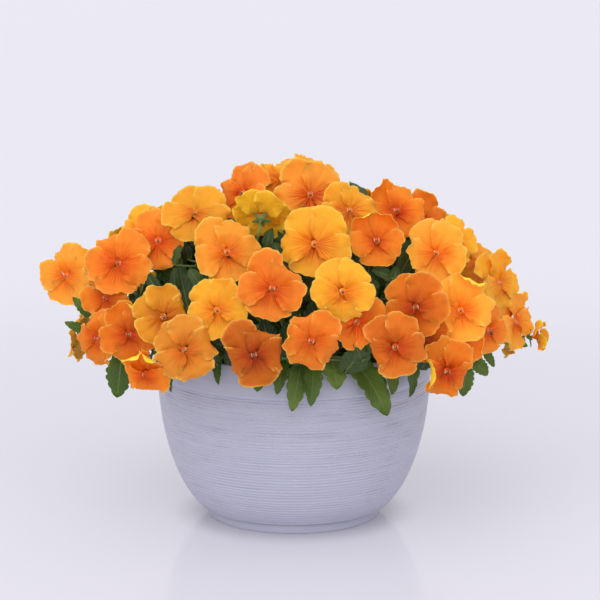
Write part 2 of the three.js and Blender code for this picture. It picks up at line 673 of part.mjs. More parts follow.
function sideLeaf({ base, tip, wide, y }) {
  const from = seenAt(...base, y);
  const face = vec(0.2 * Math.sign(from.x), -1, 0.3);
  const away = vec(0, 1, 0);
  return { base: from, tip: seenAt(...tip, y - 6), face, wide, arch: 0.06, away };
}

function gapLeaf({ base, tip, wide }) {
  const from = seenOnDome(...base, GAP_REACH - GAP_LEAN);
  const away = from.clone().sub(EYE).normalize();
  const face = vec(0, -1, 0.35);
  return { base: from, tip: seenOnDome(...tip, GAP_REACH), face, wide, arch: 0.05, away };
}

// The inner leaves wind round the dome from just under its widest level to its top.
function innerLeaf(k) {
  const bearing = k * GOLDEN_ANGLE;
  const lift = THREE.MathUtils.radToDeg(Math.asin(-0.1 + (1.09 * (k + 0.5)) / INNER_LEAVES));
  const middle = domePoint(bearing, lift, LEAF_REACH + 0.1 * draw(k));
  const up = heading(bearing, lift + 90);
  const out = heading(bearing, lift);
  const side = out.clone().cross(up);
  const swing = rad(LEAF_SWING * (2 * draw(k + 0.5) - 1));
  const along = up.multiplyScalar(Math.cos(swing)).addScaledVector(side, Math.sin(swing))
    .multiplyScalar(Math.cos(rad(LEAF_LEAN))).addScaledVector(out, Math.sin(rad(LEAF_LEAN)));
  const half = LEAF_LONG_HALF + LEAF_LONG_MORE * draw(k + 0.25);
  const base = middle.clone().addScaledVector(along, -half);
  const tip = middle.clone().addScaledVector(along, half);
  return { base, tip, face: out, wide: half * 1.2, arch: 0.08, away: out.clone().negate() };
}

// ---- Assembly ----

const HUES = ['light', 'orange', 'golden', 'deep'];
const plants = PLANT_BEARINGS.map(makePlant);
const placed = [];
const shown = [];

NEAR_BLOOMS.forEach((row) => {
  const at = seenOnDome(row.x, row.z, 1);
  const away = at.clone().sub(EYE).normalize();
  const blooms = settle([{ ...row, at }], away, plants, placed);
  shown.push({ blooms, hue: row.hue });
});
FAR_RINGS.forEach((row, ring) => {
  row.bearings.forEach((bearing, i) => {
    const bunch = farBunch(bearing, row, RING_SEEDS * ring + BUNCH_SEEDS * i);
    const blooms = settle(bunch, heading(bearing + 180, 0), plants, placed);
    shown.push({ blooms, hue: HUES[(ring + i) % HUES.length] });
  });
});

const bowlSolid = bowl();
const bowlBox = new THREE.Box3(vec(-RIM_R, -RIM_R, 0), vec(RIM_R, RIM_R, RIM_Z));
const still = [...placed, { solid: bowlSolid, box: bowlBox }];
[...RIM_LEAVES.map(rimLeaf), ...SIDE_LEAVES.map(sideLeaf), ...GAP_LEAVES.map(gapLeaf)]
  .forEach((leaf) => growLeaf(leaf, plants, still));
for (let k = 0; k < INNER_LEAVES; k += 1) growLeaf(innerLeaf(k), plants, still);

addPiece('planter_bowl', fromSolid(bowlSolid), COLOUR.bowl, 0.45);
addPiece('potting_soil', soil(plants), COLOUR.soil, 0.95);
plants.forEach((plant, i) => {
  const solids = plant.shapes.map((shape) => toSolid(geometryOf(shape)));
  addPiece(`pansy_plant_${i + 1}`, fromSolid(fuse(solids)), COLOUR.leaf, 0.6);
});
shown.forEach(({ blooms, hue }, i) => {
  const shapes = blooms.map((bloom) => geometryOf(bloomShape(bloom)));
  const name = `${blooms.length > 1 ? 'bloom_bunch' : 'bloom'}_${String(i + 1).padStart(2, '0')}`;
  const geometry = shapes.length > 1 ? fromSolid(fuse(shapes.map(toSolid))) : shapes[0];
  addPiece(name, geometry, COLOUR[hue], 0.6);
});

export default planter;
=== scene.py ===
"""The fine surfaces of a potted pansy planter: ridged bowl, potting soil, three leafy plants and
their blooms. Sizes are in millimetres until a mesh is finished, and +Z is up."""

from math import asin, copysign, cos, degrees, hypot, pi, radians, sin, sqrt, tau

import bmesh
import bpy
import numpy as np
from mathutils import Matrix, Vector, kdtree, noise
from mathutils.bvhtree import BVHTree


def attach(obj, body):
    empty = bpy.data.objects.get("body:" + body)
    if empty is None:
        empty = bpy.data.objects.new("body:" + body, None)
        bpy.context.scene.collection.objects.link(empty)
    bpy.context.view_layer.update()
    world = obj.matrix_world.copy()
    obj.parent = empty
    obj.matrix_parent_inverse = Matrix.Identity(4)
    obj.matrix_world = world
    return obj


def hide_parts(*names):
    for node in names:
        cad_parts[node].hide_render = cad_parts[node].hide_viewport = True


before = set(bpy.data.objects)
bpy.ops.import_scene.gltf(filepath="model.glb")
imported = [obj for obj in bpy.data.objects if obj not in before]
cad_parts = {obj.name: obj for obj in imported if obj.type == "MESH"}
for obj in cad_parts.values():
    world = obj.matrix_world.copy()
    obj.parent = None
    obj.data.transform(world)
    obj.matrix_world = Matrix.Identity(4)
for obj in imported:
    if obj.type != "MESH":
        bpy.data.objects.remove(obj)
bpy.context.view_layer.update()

MM = 0.001

# ---- Sizes shared with the solids ----

RIM_R = 130
RIM_Z = 168
COLLAR_Z = 138
FOOT_R = 80
FOOT_H = 9
WALL = 3.5
FLOOR_Z = 8.5
RIDGE_DEPTH = 1.5
REST_R = 36
FOOT_IN = 66
GROOVE = 4
DRAINS = 5
DRAIN_R = 5
SIDE_FROM = 64
SIDE_OUT = 63
SIDE_H = 140
SOIL_Z = 152
SOIL_CROWN = 5
GAP = 0.3
PLANT_R = 52
DOME_R = 207
DOME_H = 150
DOME_Z = 175
EYE = Vector((6, -3416, 966))  # where the photo was taken from


def draw(seed):
    """A repeatable number between 0 and 1."""
    return sin(seed * 12.9898) * 43758.5453 % 1


def heading(bearing, lift):
    """A compass direction: bearing 0 looks out of the front and grows to the right."""
    a, b = radians(bearing), radians(lift)
    return Vector((sin(a) * cos(b), -cos(a) * cos(b), sin(b)))


def dome_point(bearing, lift, reach):
    way = heading(bearing, lift)
    return Vector((way.x * DOME_R, way.y * DOME_R, way.z * DOME_H)) * reach + Vector((0, 0, DOME_Z))


def seen_at(x, z, y):
    """The point at depth y on the line of sight through (x, 0, z)."""
    return EYE.lerp(Vector((x, 0, z)), 1 - y / EYE.y)


def seen_on_dome(x, z, reach):
    """The point where that line meets the dome, or passes nearest to it."""
    def squash(p):
        return Vector((p.x / DOME_R, p.y / DOME_R, p.z / DOME_H))

    way = (Vector((x, 0, z)) - EYE).normalized()
    start = squash(EYE - Vector((0, 0, DOME_Z)))
    step = squash(way)
    a, b, c = step.dot(step), start.dot(step), start.dot(start) - reach * reach
    return EYE + way * ((-b - sqrt(max(b * b - a * c, 0))) / a)


# ---- Materials ----

class Amount:
    """What a node of a material works out. Its sums, differences and products are nodes too."""

    def __init__(self, finish, socket):
        self.finish, self.socket = finish, socket

    def __add__(self, other):
        return self.finish.maths("ADD", self, other)

    def __sub__(self, other):
        return self.finish.maths("SUBTRACT", self, other)

    def __rsub__(self, other):
        return self.finish.maths("SUBTRACT", other, self)

    def __mul__(self, other):
        return self.finish.maths("MULTIPLY", self, other)

    def __abs__(self):
        return self.finish.maths("ABSOLUTE", self)

    def held(self):
        """The same amount, held between 0 and 1."""
        self.socket.node.use_clamp = True
        return self


class Finish:
    """A material being made: its shader and nodes, and the coordinates that its patterns read."""

    def __init__(self, name, **surface):
        self.made = bpy.data.materials.new(name)
        self.made.use_nodes = True
        self.tree = self.made.node_tree
        self.surface = self.tree.nodes["Principled BSDF"].inputs
        for socket, value in surface.items():
            self.surface[socket.replace("_", " ")].default_value = value
        self.spot, self.flat = self.add("TexCoord", outputs=("Object", "UV"))

    def feed(self, socket, value):
        if isinstance(value, Amount):
            self.tree.links.new(value.socket, socket)
        else:
            socket.default_value = value

    def add(self, kind, inputs=(), outputs=(0,), **settings):
        """Adds a node, and returns what it works out at each of the outputs."""
        node = self.tree.nodes.new("ShaderNode" + kind)
        for name, value in settings.items():
            setattr(node, name, value)
        for name, value in dict(inputs).items():
            self.feed(node.inputs[name], value)
        found = [Amount(self, node.outputs[output]) for output in outputs]
        return found if len(found) > 1 else found[0]

    def maths(self, operation, a, b=0.0):
        return self.add("Math", {0: a, 1: b}, operation=operation)

    def grain(self, scale, detail=4.0, roughness=0.55, at=None):
        """Noise over the piece, or over other coordinates."""
        return self.add("TexNoise", {"Vector": at or self.spot, "Scale": scale, "Detail": detail,
                                     "Roughness": roughness})

    def streaks(self, at, stretch, detail):
        """Noise drawn out into streaks, with a scale for each direction."""
        return self.grain(1.0, detail, at=self.add("Mapping", {"Vector": at, "Scale": stretch}))

    def ramp(self, factor, *stops):
        """A colour ramp through (position, colour) stops."""
        colour = self.add("ValToRGB", {"Fac": factor})
        spots = colour.socket.node.color_ramp.elements
        while len(spots) < len(stops):
            spots.new(0.5)
        for spot, (spot.position, tint) in zip(spots, stops):
            spot.color = (*tint, 1)
        return colour

    def blend(self, factor, a, b, how="MIX"):
        """Colour b, which is a plain one, laid over the worked out colour a."""
        return self.add("Mix", {"Factor": factor, 6: a, 7: (*b, 1)}, (2,), data_type="RGBA",
                        blend_type=how)

    def smooth_step(self, value, start, end, low, high):
        steps = {"Value": value, "From Min": start, "From Max": end, "To Min": low, "To Max": high}
        return self.add("MapRange", steps, interpolation_type="SMOOTHSTEP")

    def done(self, colour, relief=None, strength=0.3, depth=0.0004):
        """The finished material, with its colour and the small relief on it."""
        self.feed(self.surface["Base Color"], colour)
        if relief:
            bumps = {"Height": relief, "Strength": strength, "Distance": depth}
            self.feed(self.surface["Normal"], self.add("Bump", bumps))
        return self.made


# Petal colours from the throat to the margin, then the margin itself, the marks and the back.
HUES = {
    "golden": ((0.95, 0.2, 0.008), (0.98, 0.31, 0.014), (1.0, 0.38, 0.022), (1.0, 0.58, 0.11)),
    "light": ((0.93, 0.14, 0.007), (0.97, 0.24, 0.014), (1.0, 0.325, 0.03), (1.0, 0.55, 0.12)),
    "orange": ((0.84, 0.09, 0.004), (0.95, 0.17, 0.008), (0.98, 0.235, 0.018), (1.0, 0.46, 0.1)),
    "deep": ((0.54, 0.045, 0.002), (0.7, 0.12, 0.004), (0.82, 0.195, 0.01), (0.96, 0.42, 0.09)),
}
PETAL_MARK = (0.5, 0.03, 0.001)
PETAL_BACK = ((1.0, 0.4, 0.02), (1.0, 0.5, 0.022), (1.0, 0.62, 0.1))


def petal_material(hue, back=False):
    """Velvety petal: deeper at the throat, finely veined out of it, with a pale thin margin."""
    petal = Finish(f"petal_{hue}" + ("_back" if back else ""), Roughness=0.6, Sheen_Weight=0.03,
                   Sheen_Roughness=0.4, Sheen_Tint=(1.0, 0.7, 0.4, 1), Subsurface_Weight=0.5,
                   Subsurface_Scale=0.003, Subsurface_Radius=(1.0, 0.55, 0.12),
                   Specular_IOR_Level=0.15)
    marks, tone = petal.add("Attribute", outputs=("Color", "Alpha"), attribute_name="petal")
    out, rim, depth = petal.add("SeparateColor", {"Color": marks}, (0, 1, 2))
    veins = petal.streaks(petal.flat, (70, 2.2, 1), 3.0)
    if back:
        root, outer, edge = PETAL_BACK
        base = petal.ramp(out, (0.1, root), (0.35, outer), (1.0, outer))
    else:
        throat, middle, outer, edge = HUES[hue]
        spread = out + petal.streaks(petal.flat, (16, 1.6, 1), 2.0) * 0.25 - depth * 0.16
        base = petal.ramp(spread, (0.14, throat), (0.38, middle), (0.66, outer))
    away = (1.15 - out * 1.6).held()
    line = ((veins - 0.44).held() * 5.5).held()
    marked = petal.blend((line * away * depth).held(), base, PETAL_MARK)
    # The alpha mark darkens or lightens the whole bloom: a random tone, and painted shade and light for
    # some blooms.
    value = petal.grain(55.0, 3.0) * 0.3 + tone * 0.32 + 0.66
    shade = petal.add("HueSaturation", {"Color": marked, "Value": value})
    pale = (petal.maths("POWER", rim, 14.0) * 0.85).held()
    relief = veins * 0.8 + petal.grain(1400.0, 2.0) * 0.35
    return petal.done(petal.blend(pale, shade, edge), relief, 0.28, 0.0006)


def mottled_material(name, scale, dark, pale, **surface):
    """The finish of a small part of a bloom, mottled between two colours."""
    part = Finish(name, **surface)
    return part.done(part.ramp(part.grain(scale), (0.35, dark), (0.65, pale)))


def leaf_material(under=False):
    """A leaf with a pale midrib and side veins; the underside is lighter and duller."""
    leaf = Finish("leaf_under" if under else "leaf", Roughness=0.55 if under else 0.45,
                  Subsurface_Weight=0.12, Subsurface_Scale=0.003, Subsurface_Radius=(0.5, 1.0, 0.2),
                  Specular_IOR_Level=0.3)
    x, y = leaf.add("SeparateXYZ", {"Vector": leaf.flat}, "XY")
    across = abs(x - 0.5)
    midrib = (1.0 - across * 22.0).held()
    rib = abs(leaf.maths("FRACT", y * 8.0 - across * 5.0) - 0.5)
    veins = leaf.maths("MAXIMUM", midrib, (1.0 - rib * 9.0).held() * 0.55)
    net = leaf.streaks(leaf.flat, (26, 40, 1), 3.0)
    # The mark holds each leaf's random tone and its painted light and shade; the darkest stops are painted
    # shade on the leaves inside the mound.
    mark = leaf.add("Attribute", outputs=("Fac",), attribute_name="leaf_tone_and_painted_shade")
    tone = leaf.grain(28.0, 3.0) * 0.7 + mark * 0.5
    if under:
        pale = (0.3, 0.4, 0.16)
        green = leaf.ramp(tone, (0.3, (0.1, 0.17, 0.05)), (0.8, (0.2, 0.3, 0.09)))
    else:
        pale = (0.19, 0.27, 0.07)
        green = leaf.ramp(tone, (0.22, (0.007, 0.02, 0.003)), (0.42, (0.026, 0.058, 0.006)),
                          (0.65, (0.065, 0.12, 0.012)), (0.95, (0.16, 0.24, 0.035)))
    fine = leaf.blend(net * 0.35, green, pale, "MULTIPLY")
    return leaf.done(leaf.blend(veins * 0.6, fine, pale), net * 0.4 - veins, 0.45, 0.0007)


def stem_material():
    """Juicy ribbed stem, a little redder in places."""
    stem = Finish("stem", Roughness=0.42, Subsurface_Weight=0.1, Subsurface_Scale=0.002)
    green = stem.ramp(stem.grain(45.0), (0.3, (0.075, 0.12, 0.025)), (0.6, (0.15, 0.22, 0.05)),
                      (0.8, (0.2, 0.17, 0.06)))
    return stem.done(green, stem.grain(700.0))


def soil_material():
    """Dark, crumbly potting soil with paler fibres."""
    soil = Finish("soil", Roughness=0.95, Specular_IOR_Level=0.2)
    crumbs = soil.add("TexVoronoi", {"Vector": soil.spot, "Scale": 260.0})
    mixed = crumbs * 0.5 + soil.grain(420.0, 6.0, 0.7)
    brown = soil.ramp(mixed, (0.35, (0.01, 0.006, 0.004)), (0.7, (0.045, 0.028, 0.018)),
                      (1.0, (0.13, 0.085, 0.05)))
    return soil.done(brown, mixed, 0.9, 0.0015)


def bowl_material():
    """Satin moulded plastic, lilac grey, with streaks that follow the turned ridges."""
    bowl = Finish("bowl", Specular_IOR_Level=0.5, Coat_Weight=0.08, Coat_Roughness=0.3)
    streaks = bowl.streaks(bowl.spot, (7, 7, 420), 4.0)
    tone = streaks * 0.6 + bowl.grain(9.0, 2.0) * 0.4
    lilac = bowl.ramp(tone, (0.3, (0.43, 0.43, 0.535)), (0.7, (0.49, 0.49, 0.6)))
    bowl.feed(bowl.surface["Roughness"], streaks * 0.16 + 0.27)
    return bowl.done(lilac, streaks + bowl.grain(1500.0) * 0.15, 0.3, 0.0006)


# ---- Meshes ----

def as_mesh(bm, name):
    mesh = bpy.data.meshes.new(name)
    bm.to_mesh(mesh)
    bm.free()
    return mesh


def new_object(name, data):
    made = bpy.data.objects.new(name, data)
    bpy.context.scene.collection.objects.link(made)
    return made


def move_in(bm, mesh):
    """Adds a mesh to another and clears it away."""
    bm.from_mesh(mesh)
    bpy.data.meshes.remove(mesh)


def solids(*nodes):
    """The solids of some nodes as one mesh in millimetres."""
    bm = bmesh.new()
    for node in nodes:
        bm.from_mesh(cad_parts[node].data)
    bmesh.ops.scale(bm, verts=bm.verts, vec=(1 / MM,) * 3)
    return bm


def place_piece(name, bm, materials, node):
    """Makes a finished shape a piece that rides on the planter and stands for its solid."""
    mesh = as_mesh(bm, name)
    mesh.transform(Matrix.Scale(MM, 4))
    for one in materials:
        mesh.materials.append(one)
    mesh.shade_smooth()
    piece = new_object(name, mesh)
    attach(piece, "root")
    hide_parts(node)
    return piece


def turned(profile, steps):
    """A closed solid turned from an (r, z) outline that starts and ends on the axis."""
    bm = bmesh.new()
    verts = [bm.verts.new((r, 0, z)) for r, z in profile]
    edges = [bm.edges.new(pair) for pair in zip(verts, verts[1:])]
    bmesh.ops.spin(bm, geom=verts + edges, cent=(0, 0, 0), axis=(0, 0, 1), dvec=(0, 0, 0),
                   angle=tau, steps=steps, use_merge=True)
    bmesh.ops.remove_doubles(bm, verts=bm.verts, dist=0.001)
    bmesh.ops.recalc_face_normals(bm, faces=bm.faces)
    return bm


# ---- Bowl ----

BOWL_STEPS = 160
RIDGE_PITCH = 2.8
RIDGE_WAVE = ((0.0, 1.0), (0.25, 0.35), (0.5, 0.0), (0.75, 0.35))
FINE_DEPTH = 0.95  # depth of the fine ridges, which come and go round the bowl
SIDE_BACK = 0.4  # how far the ridge tops lie inside the solid's side
LIP_ROUND = 1.2
INNER_LEVELS = (12, 22, 34, 48, 64, 86, 108, 130)
RIDGE_FADE = 1.1  # how much deeper or shallower a ridge gets on its way round
RIDGE_ROUGH = 0.22


def side_radius(z):
    return SIDE_FROM + SIDE_OUT * sqrt(1 - (1 - z / SIDE_H) ** 2)


def inside_radius(z):
    return side_radius(z) - RIDGE_DEPTH - WALL


def bowl_profile():
    profile = [(0, 0), (REST_R, 0), (REST_R + 2, GROOVE), (FOOT_IN - 2, GROOVE), (FOOT_IN, 0),
               (FOOT_R - 1, 0), (FOOT_R - 0.2, 0.5), (FOOT_R, 1.5), (FOOT_R, FOOT_H - 1.2),
               (FOOT_R - 0.8, FOOT_H - 0.2), (FOOT_R - 2.2, FOOT_H + 0.3)]
    z = FOOT_H + 1.2
    ridge = 0
    while z < COLLAR_Z - RIDGE_PITCH:
        pitch = RIDGE_PITCH * (0.8 + 0.4 * draw(ridge))
        depth = FINE_DEPTH * (0.5 + 0.5 * draw(ridge + 0.5))
        for share, sink in RIDGE_WAVE:
            level = z + share * pitch
            profile.append((side_radius(level) - SIDE_BACK - sink * depth, level))
        z += pitch
        ridge += 1
    profile += [(side_radius(z) - 0.9, z), (side_radius(COLLAR_Z - 1) - 0.6, COLLAR_Z - 1),
                (RIM_R - 1.6, COLLAR_Z - 0.4), (RIM_R - 0.5, COLLAR_Z + 0.6), (RIM_R - 0.3, COLLAR_Z + 3)]
    for turn in (radians(30 * k) for k in range(7)):
        profile.append((RIM_R - WALL / 2 + (WALL / 2) * cos(turn),
                        RIM_Z - LIP_ROUND + LIP_ROUND * sin(turn)))
    profile += [(inside_radius(z), z) for z in (*INNER_LEVELS[:0:-1], 14, FLOOR_Z + 1)]
    return profile + [(inside_radius(FLOOR_Z) - 3, FLOOR_Z), (0, FLOOR_Z)]


def drill_drains(piece):
    drills = bmesh.new()
    for i in range(DRAINS):
        at = heading(360 * i / DRAINS, 0) * ((REST_R + FOOT_IN) / 2)
        bmesh.ops.create_cone(drills, cap_ends=True, segments=24, radius1=DRAIN_R, radius2=DRAIN_R,
                              depth=3 * FLOOR_Z, matrix=Matrix.Translation(at))
    mesh = as_mesh(drills, "drains")
    mesh.transform(Matrix.Scale(MM, 4))
    cutter = new_object("drains", mesh)
    cut = piece.modifiers.new("drains", "BOOLEAN")
    cut.object = cutter
    cut.operation = "DIFFERENCE"
    cut.solver = "MANIFOLD"
    bpy.context.view_layer.objects.active = piece
    bpy.ops.object.modifier_apply(modifier=cut.name)
    bpy.data.objects.remove(cutter)


def make_bowl():
    bm = turned(bowl_profile(), BOWL_STEPS)
    for vert in bm.verts:
        r = hypot(vert.co.x, vert.co.y)
        if r < inside_radius(vert.co.z) + 1 or not FOOT_H + 2 < vert.co.z < COLLAR_Z - 2:
            continue
        around = vert.co / r
        spot = Vector((5 * around.x, 5 * around.y, vert.co.z / 9))
        sunk = side_radius(vert.co.z) - SIDE_BACK - r
        wanted = sunk * (1 + RIDGE_FADE * noise.noise(spot)) + RIDGE_ROUGH * noise.noise(spot * 2.3)
        vert.co.x += around.x * (sunk - wanted)
        vert.co.y += around.y * (sunk - wanted)
    drill_drains(place_piece("ridged_bowl", bm, [bowl_material()], "planter_bowl"))


# ---- Soil ----

CLODS = 420
CLOD = 1.2
CLOD_MORE = 2.6
SOIL_RINGS = 34
SOIL_STEPS = 120
LUMP_H = 1.6
CRUMB_H = 0.6


def make_soil():
    bottom = FLOOR_Z + GAP
    wall = inside_radius(INNER_LEVELS[-1]) - GAP
    profile = [(0, bottom), (inside_radius(FLOOR_Z) - 4, bottom)]
    profile += [(inside_radius(z) - GAP - 0.6, z) for z in INNER_LEVELS]
    profile += [(wall, 140), (wall, SOIL_Z - 1)]
    profile += [(wall * (1 - k / SOIL_RINGS), SOIL_Z + SOIL_CROWN * k / SOIL_RINGS)
                for k in range(1, SOIL_RINGS)]
    bm = turned(profile + [(0, SOIL_Z + SOIL_CROWN)], SOIL_STEPS)
    for vert in bm.verts:
        if vert.co.z > SOIL_Z - 0.5:
            lumps = LUMP_H * noise.fractal(vert.co * 0.09, 1.0, 2.0, 3)
            vert.co.z += lumps + CRUMB_H * noise.noise(vert.co * 0.6) - LUMP_H / 2
    for k in range(CLODS):
        out = (wall - 4) * sqrt(draw(k + 0.1))
        at = heading(360 * draw(k + 0.2), 0) * out
        at.z = SOIL_Z + SOIL_CROWN * (1 - out / wall) - 0.4
        size = CLOD + CLOD_MORE * draw(k + 0.3) ** 2
        turn = Matrix.Rotation(tau * draw(k + 0.4), 4, heading(360 * draw(k + 0.5), 30))
        shape = Matrix.Diagonal((size * 1.3, size, size * 0.7, 1))
        bmesh.ops.create_icosphere(bm, subdivisions=1, radius=1,
                                   matrix=Matrix.Translation(at) @ turn @ shape)
    place_piece("potting_mix", bm, [soil_material()], "potting_soil")


# ---- Blooms: the same places and shapes as the solids ----

# Bearing of each petal on the bloom's face, its length and half width as shares of the bloom, and
# the level and slope of its sheet.
PETALS = [
    (350, 0.5, 0.24, 1.4, 0.06),
    (62, 0.54, 0.27, -1.6, -0.06),
    (118, 0.54, 0.27, -3.0, -0.12),
    (190, 0.5, 0.24, 1.4, 0.06),
    (270, 0.47, 0.31, -0.1, 0.0),
]
LIP = 4                       # the petal that hangs below the throat
MARKED = (0.85, 0.4, 0.4, 0.85, 1.0)  # how strongly each petal is veined out of the throat
PETAL_FROM = 0.11
THROAT_FRONT = 3.2
BLOOM_BACK = 8
SETTLE_STEP = 3
SETTLE_MOST = 30
ROOT_DRAWN = 0.075  # how far a petal's root is drawn in under the eye
SHEET = 0.28  # half the thickness of a petal
BEND = 55  # degrees by which the outer half of a petal may bend
FULL_SIZE = 58  # the size of bloom for which the waves' heights are given

# The near blooms: where the throat is seen, the bloom's height, which way it faces, how far its
# top leans to the right, and its hue. The deep hue is partly painted shade: besides deeper blooms,
# it is given to blooms that stand in shade behind others.
NEAR_BLOOMS = [
    (142, 134, 56, 20, -5, 10, "deep"), (-101, 154, 60, -12, 4, -32, "light"),
    (-71, 192, 54, -5, 14, -10, "golden"), (45, 210, 58, 3, 14, 5, "golden"),
    (-20, 213, 62, -3, 10, 10, "orange"), (154, 192, 64, 12, 12, -8, "light"),
    (-121, 186, 56, 5, 6, -30, "golden"), (-37, 150, 62, -6, 2, -12, "deep"),
    (16, 163, 56, 0, 5, 15, "orange"), (94, 157, 58, 8, 5, -8, "orange"),
    (-153, 169, 56, -15, 5, -5, "deep"), (58, 181, 54, 10, -2, 40, "orange"),
    (113, 195, 60, -5, 5, -10, "deep"), (-62, 247, 62, 8, 20, -10, "light"),
    (19, 255, 66, 0, 16, 5, "golden"), (-182, 165, 54, -45, 5, 5, "deep"),
    (-138, 131, 50, -15, -15, 0, "deep"), (-210, 225, 60, -35, 12, 5, "light"),
    (-162, 237, 64, -15, 10, 5, "orange"), (131, 246, 60, 15, 15, 10, "light"),
    (76, 258, 52, 10, 25, 0, "deep"), (15, 301, 64, 3, 25, 0, "light"),
    (-91, 283, 62, -12, 45, 0, "golden"), (-174, 204, 52, -30, 5, 0, "deep"),
    (189, 218, 58, 55, 10, 0, "golden"), (154, 159, 52, 35, 5, 0, "orange"),
    (122, 164, 44, 12, 6, 20, "deep"), (180, 173, 46, 45, 0, 0, "orange"),
    (205, 181, 56, 60, 5, 0, "light"), (-29, 283, 56, 170, 25, 0, "golden"),
    (51, 286, 54, 10, 30, 0, "golden"), (149, 258, 48, 40, 20, 0, "golden"),
    (94, 286, 56, 20, 30, 0, "deep"), (117, 278, 54, 25, 40, 0, "deep"),
    (-125, 258, 58, -10, 20, 0, "orange"), (171, 234, 46, 40, 20, 0, "light"),
    (-47, 303, 56, -40, 20, 0, "orange"), (-11, 315, 52, -10, 35, 20, "golden"),
    (10, 319, 56, 15, 40, 0, "light"), (227, 167, 30, 80, 0, 0, "golden"),
    (-141, 268, 47, -30, 30, 0, "golden"),
]
# Petals that are rolled, by the bloom's number: the petal, the share of its length where the roll
# starts, and by how many degrees it turns towards the viewer.
ROLLED = {
    0: [(3, 0.45, 150), (0, 0.4, -110)], 1: [(0, 0.4, -110), (4, 0.7, -50)], 2: [(4, 0.7, 45)],
    4: [(1, 0.4, -120)], 5: [(1, 0.62, 140)], 6: [(4, 0.5, 80), (0, 0.4, -120)],
    7: [(0, 0.4, -125), (1, 0.35, -130), (3, 0.4, -120)],
    8: [(3, 0.5, 85), (2, 0.5, -90), (0, 0.45, -110)], 9: [(0, 0.6, -70), (3, 0.35, -130)],
    10: [(1, 0.6, 120)], 11: [(0, 0.45, 100), (4, 0.6, 60)], 12: [(3, 0.6, 50)], 13: [(4, 0.6, 50)],
    14: [(3, 0.5, -100)], 16: [(1, 0.3, 100), (2, 0.3, 100), (3, 0.4, -110), (4, 0.5, -110)],
    18: [(4, 0.7, 60)], 19: [(3, 0.6, 60)], 20: [(1, 0.55, 130), (2, 0.55, 130), (0, 0.7, 60)],
    24: [(1, 0.6, 90)], 25: [(0, 0.5, 80)], 28: [(1, 0.6, 100)], 31: [(2, 0.5, -70)],
    32: [(2, 0.5, 100)], 33: [(1, 0.5, 90)], 37: [(2, 0.4, -80)], 38: [(1, 0.4, -55)],
    39: [(k, 0.2, 85) for k in range(5)],
}
# Painted shade and light, by number: blooms standing in shade are darkened, and blooms lit more than the
# others are lightened.
PAINTED_SHADE_AND_LIGHT = {1: -0.85, 4: -0.6, 5: 0.7, 6: -0.7, 7: -1.1, 8: -0.45, 9: -0.9, 10: 0.2, 14: -0.35, 16: 0.4,
         26: -0.6, 32: 0.3, 39: -0.6}
# Far rings of bunches: lift, tilt, bearings, on which side of a pair the third bloom lies, and
# how far out on the dome.
FAR_RINGS = [
    (-3, 6, (104, 142, 180, 218, 256), 0.78, 0.97),
    (31, 30, (123, 161, 199, 237), -0.74, 0.95),
    (52, 72, (106, 153, 207, 254), 0.74, 0.9),
]
RING_SEEDS = 24
BUNCH_SEEDS = 4
FAR_SEEDS = 100  # where the numbers of the far blooms start
FAR_HUES = ("light", "orange", "golden", "deep")
BUNCH_SPACING = 0.77
BUNCH_ANGLE = 10
BUNCH_ROLL = 14
FAR_SIZE = 56
FAR_SIZE_MORE = 6
FAR_ROLL = 12
NEARLY = 0.03  # how close a solid's corner lies to where it is looked for


class Bloom:
    """A bloom's place, size and axes: u to the right, v up and n out of its face."""

    def __init__(self, seed, at, size, turn, tilt, roll):
        self.seed, self.at, self.size = seed, at, size
        self.n = heading(turn, tilt)
        right = heading(turn + 90, 0)
        lean = Matrix.Rotation(-radians(roll), 3, self.n)
        self.u, self.v = lean @ right, lean @ self.n.cross(right)

    def behind(self, depth):
        return self.at - self.n * (BLOOM_BACK + GAP + depth)

    def placed(self, flat):
        """Points given on the bloom's own axes, where they lie in the planter."""
        return np.array(self.at) + flat @ np.array([self.u, self.v, self.n])


class Corners:
    """The corners of a solid, and which of them an edge joins."""

    def __init__(self, node):
        bm = solids(node)
        bmesh.ops.remove_doubles(bm, verts=bm.verts, dist=0.01)
        bm.verts.index_update()
        self.places = [vert.co.copy() for vert in bm.verts]
        self.near = [[edge.other_vert(vert).index for edge in vert.link_edges] for vert in bm.verts]
        bm.free()
        self.tree = kdtree.KDTree(len(self.places))
        for i, place in enumerate(self.places):
            self.tree.insert(place, i)
        self.tree.balance()

    def at(self, point):
        """The corner at a point, or None."""
        _, index, distance = self.tree.find(point)
        return index if distance < 2 * NEARLY else None


def far_bunch(bearing, lift, tilt, third, reach, seed):
    size = FAR_SIZE + FAR_SIZE_MORE * draw(seed)
    middle = dome_point(bearing, lift, reach)
    whole = Bloom(0, middle, size, bearing, tilt, BUNCH_ROLL * (2 * draw(seed + 0.5) - 1))
    spacing = BUNCH_SPACING * size
    return [Bloom(FAR_SEEDS + seed + k, middle + whole.u * spacing * across + whole.v * spacing * up,
                  size, bearing + BUNCH_ANGLE * across, tilt - BUNCH_ANGLE * abs(up),
                  FAR_ROLL * (2 * draw(seed + k + 1) - 1))
            for k, (across, up) in enumerate([(-0.5, 0), (0.5, 0), (0, third)])]


def settle(blooms, away, node):
    """Moves blooms along the way they were set down, to where their solid is."""
    corners = Corners(node)

    def found(step):
        shift = away * (SETTLE_STEP * step)
        return sum(corners.at(bloom.at + shift + bloom.n * level) is not None
                   for bloom in blooms for level in (THROAT_FRONT, -BLOOM_BACK))

    shift = away * (SETTLE_STEP * max(range(SETTLE_MOST), key=found))
    for bloom in blooms:
        bloom.at = bloom.at + shift


def from_square(x, y):
    """Points of a square of half width 1, moved onto the round disc inside it."""
    return x * np.sqrt(1 - y * y / 2), y * np.sqrt(1 - x * x / 2)


def ripples(turn, key, waves):
    """Waves round a margin; each is (height, how many, what is added to the key for its start)."""
    return sum(high * np.sin(many * turn + 6.3 * draw(key + start)) for high, many, start in waves)


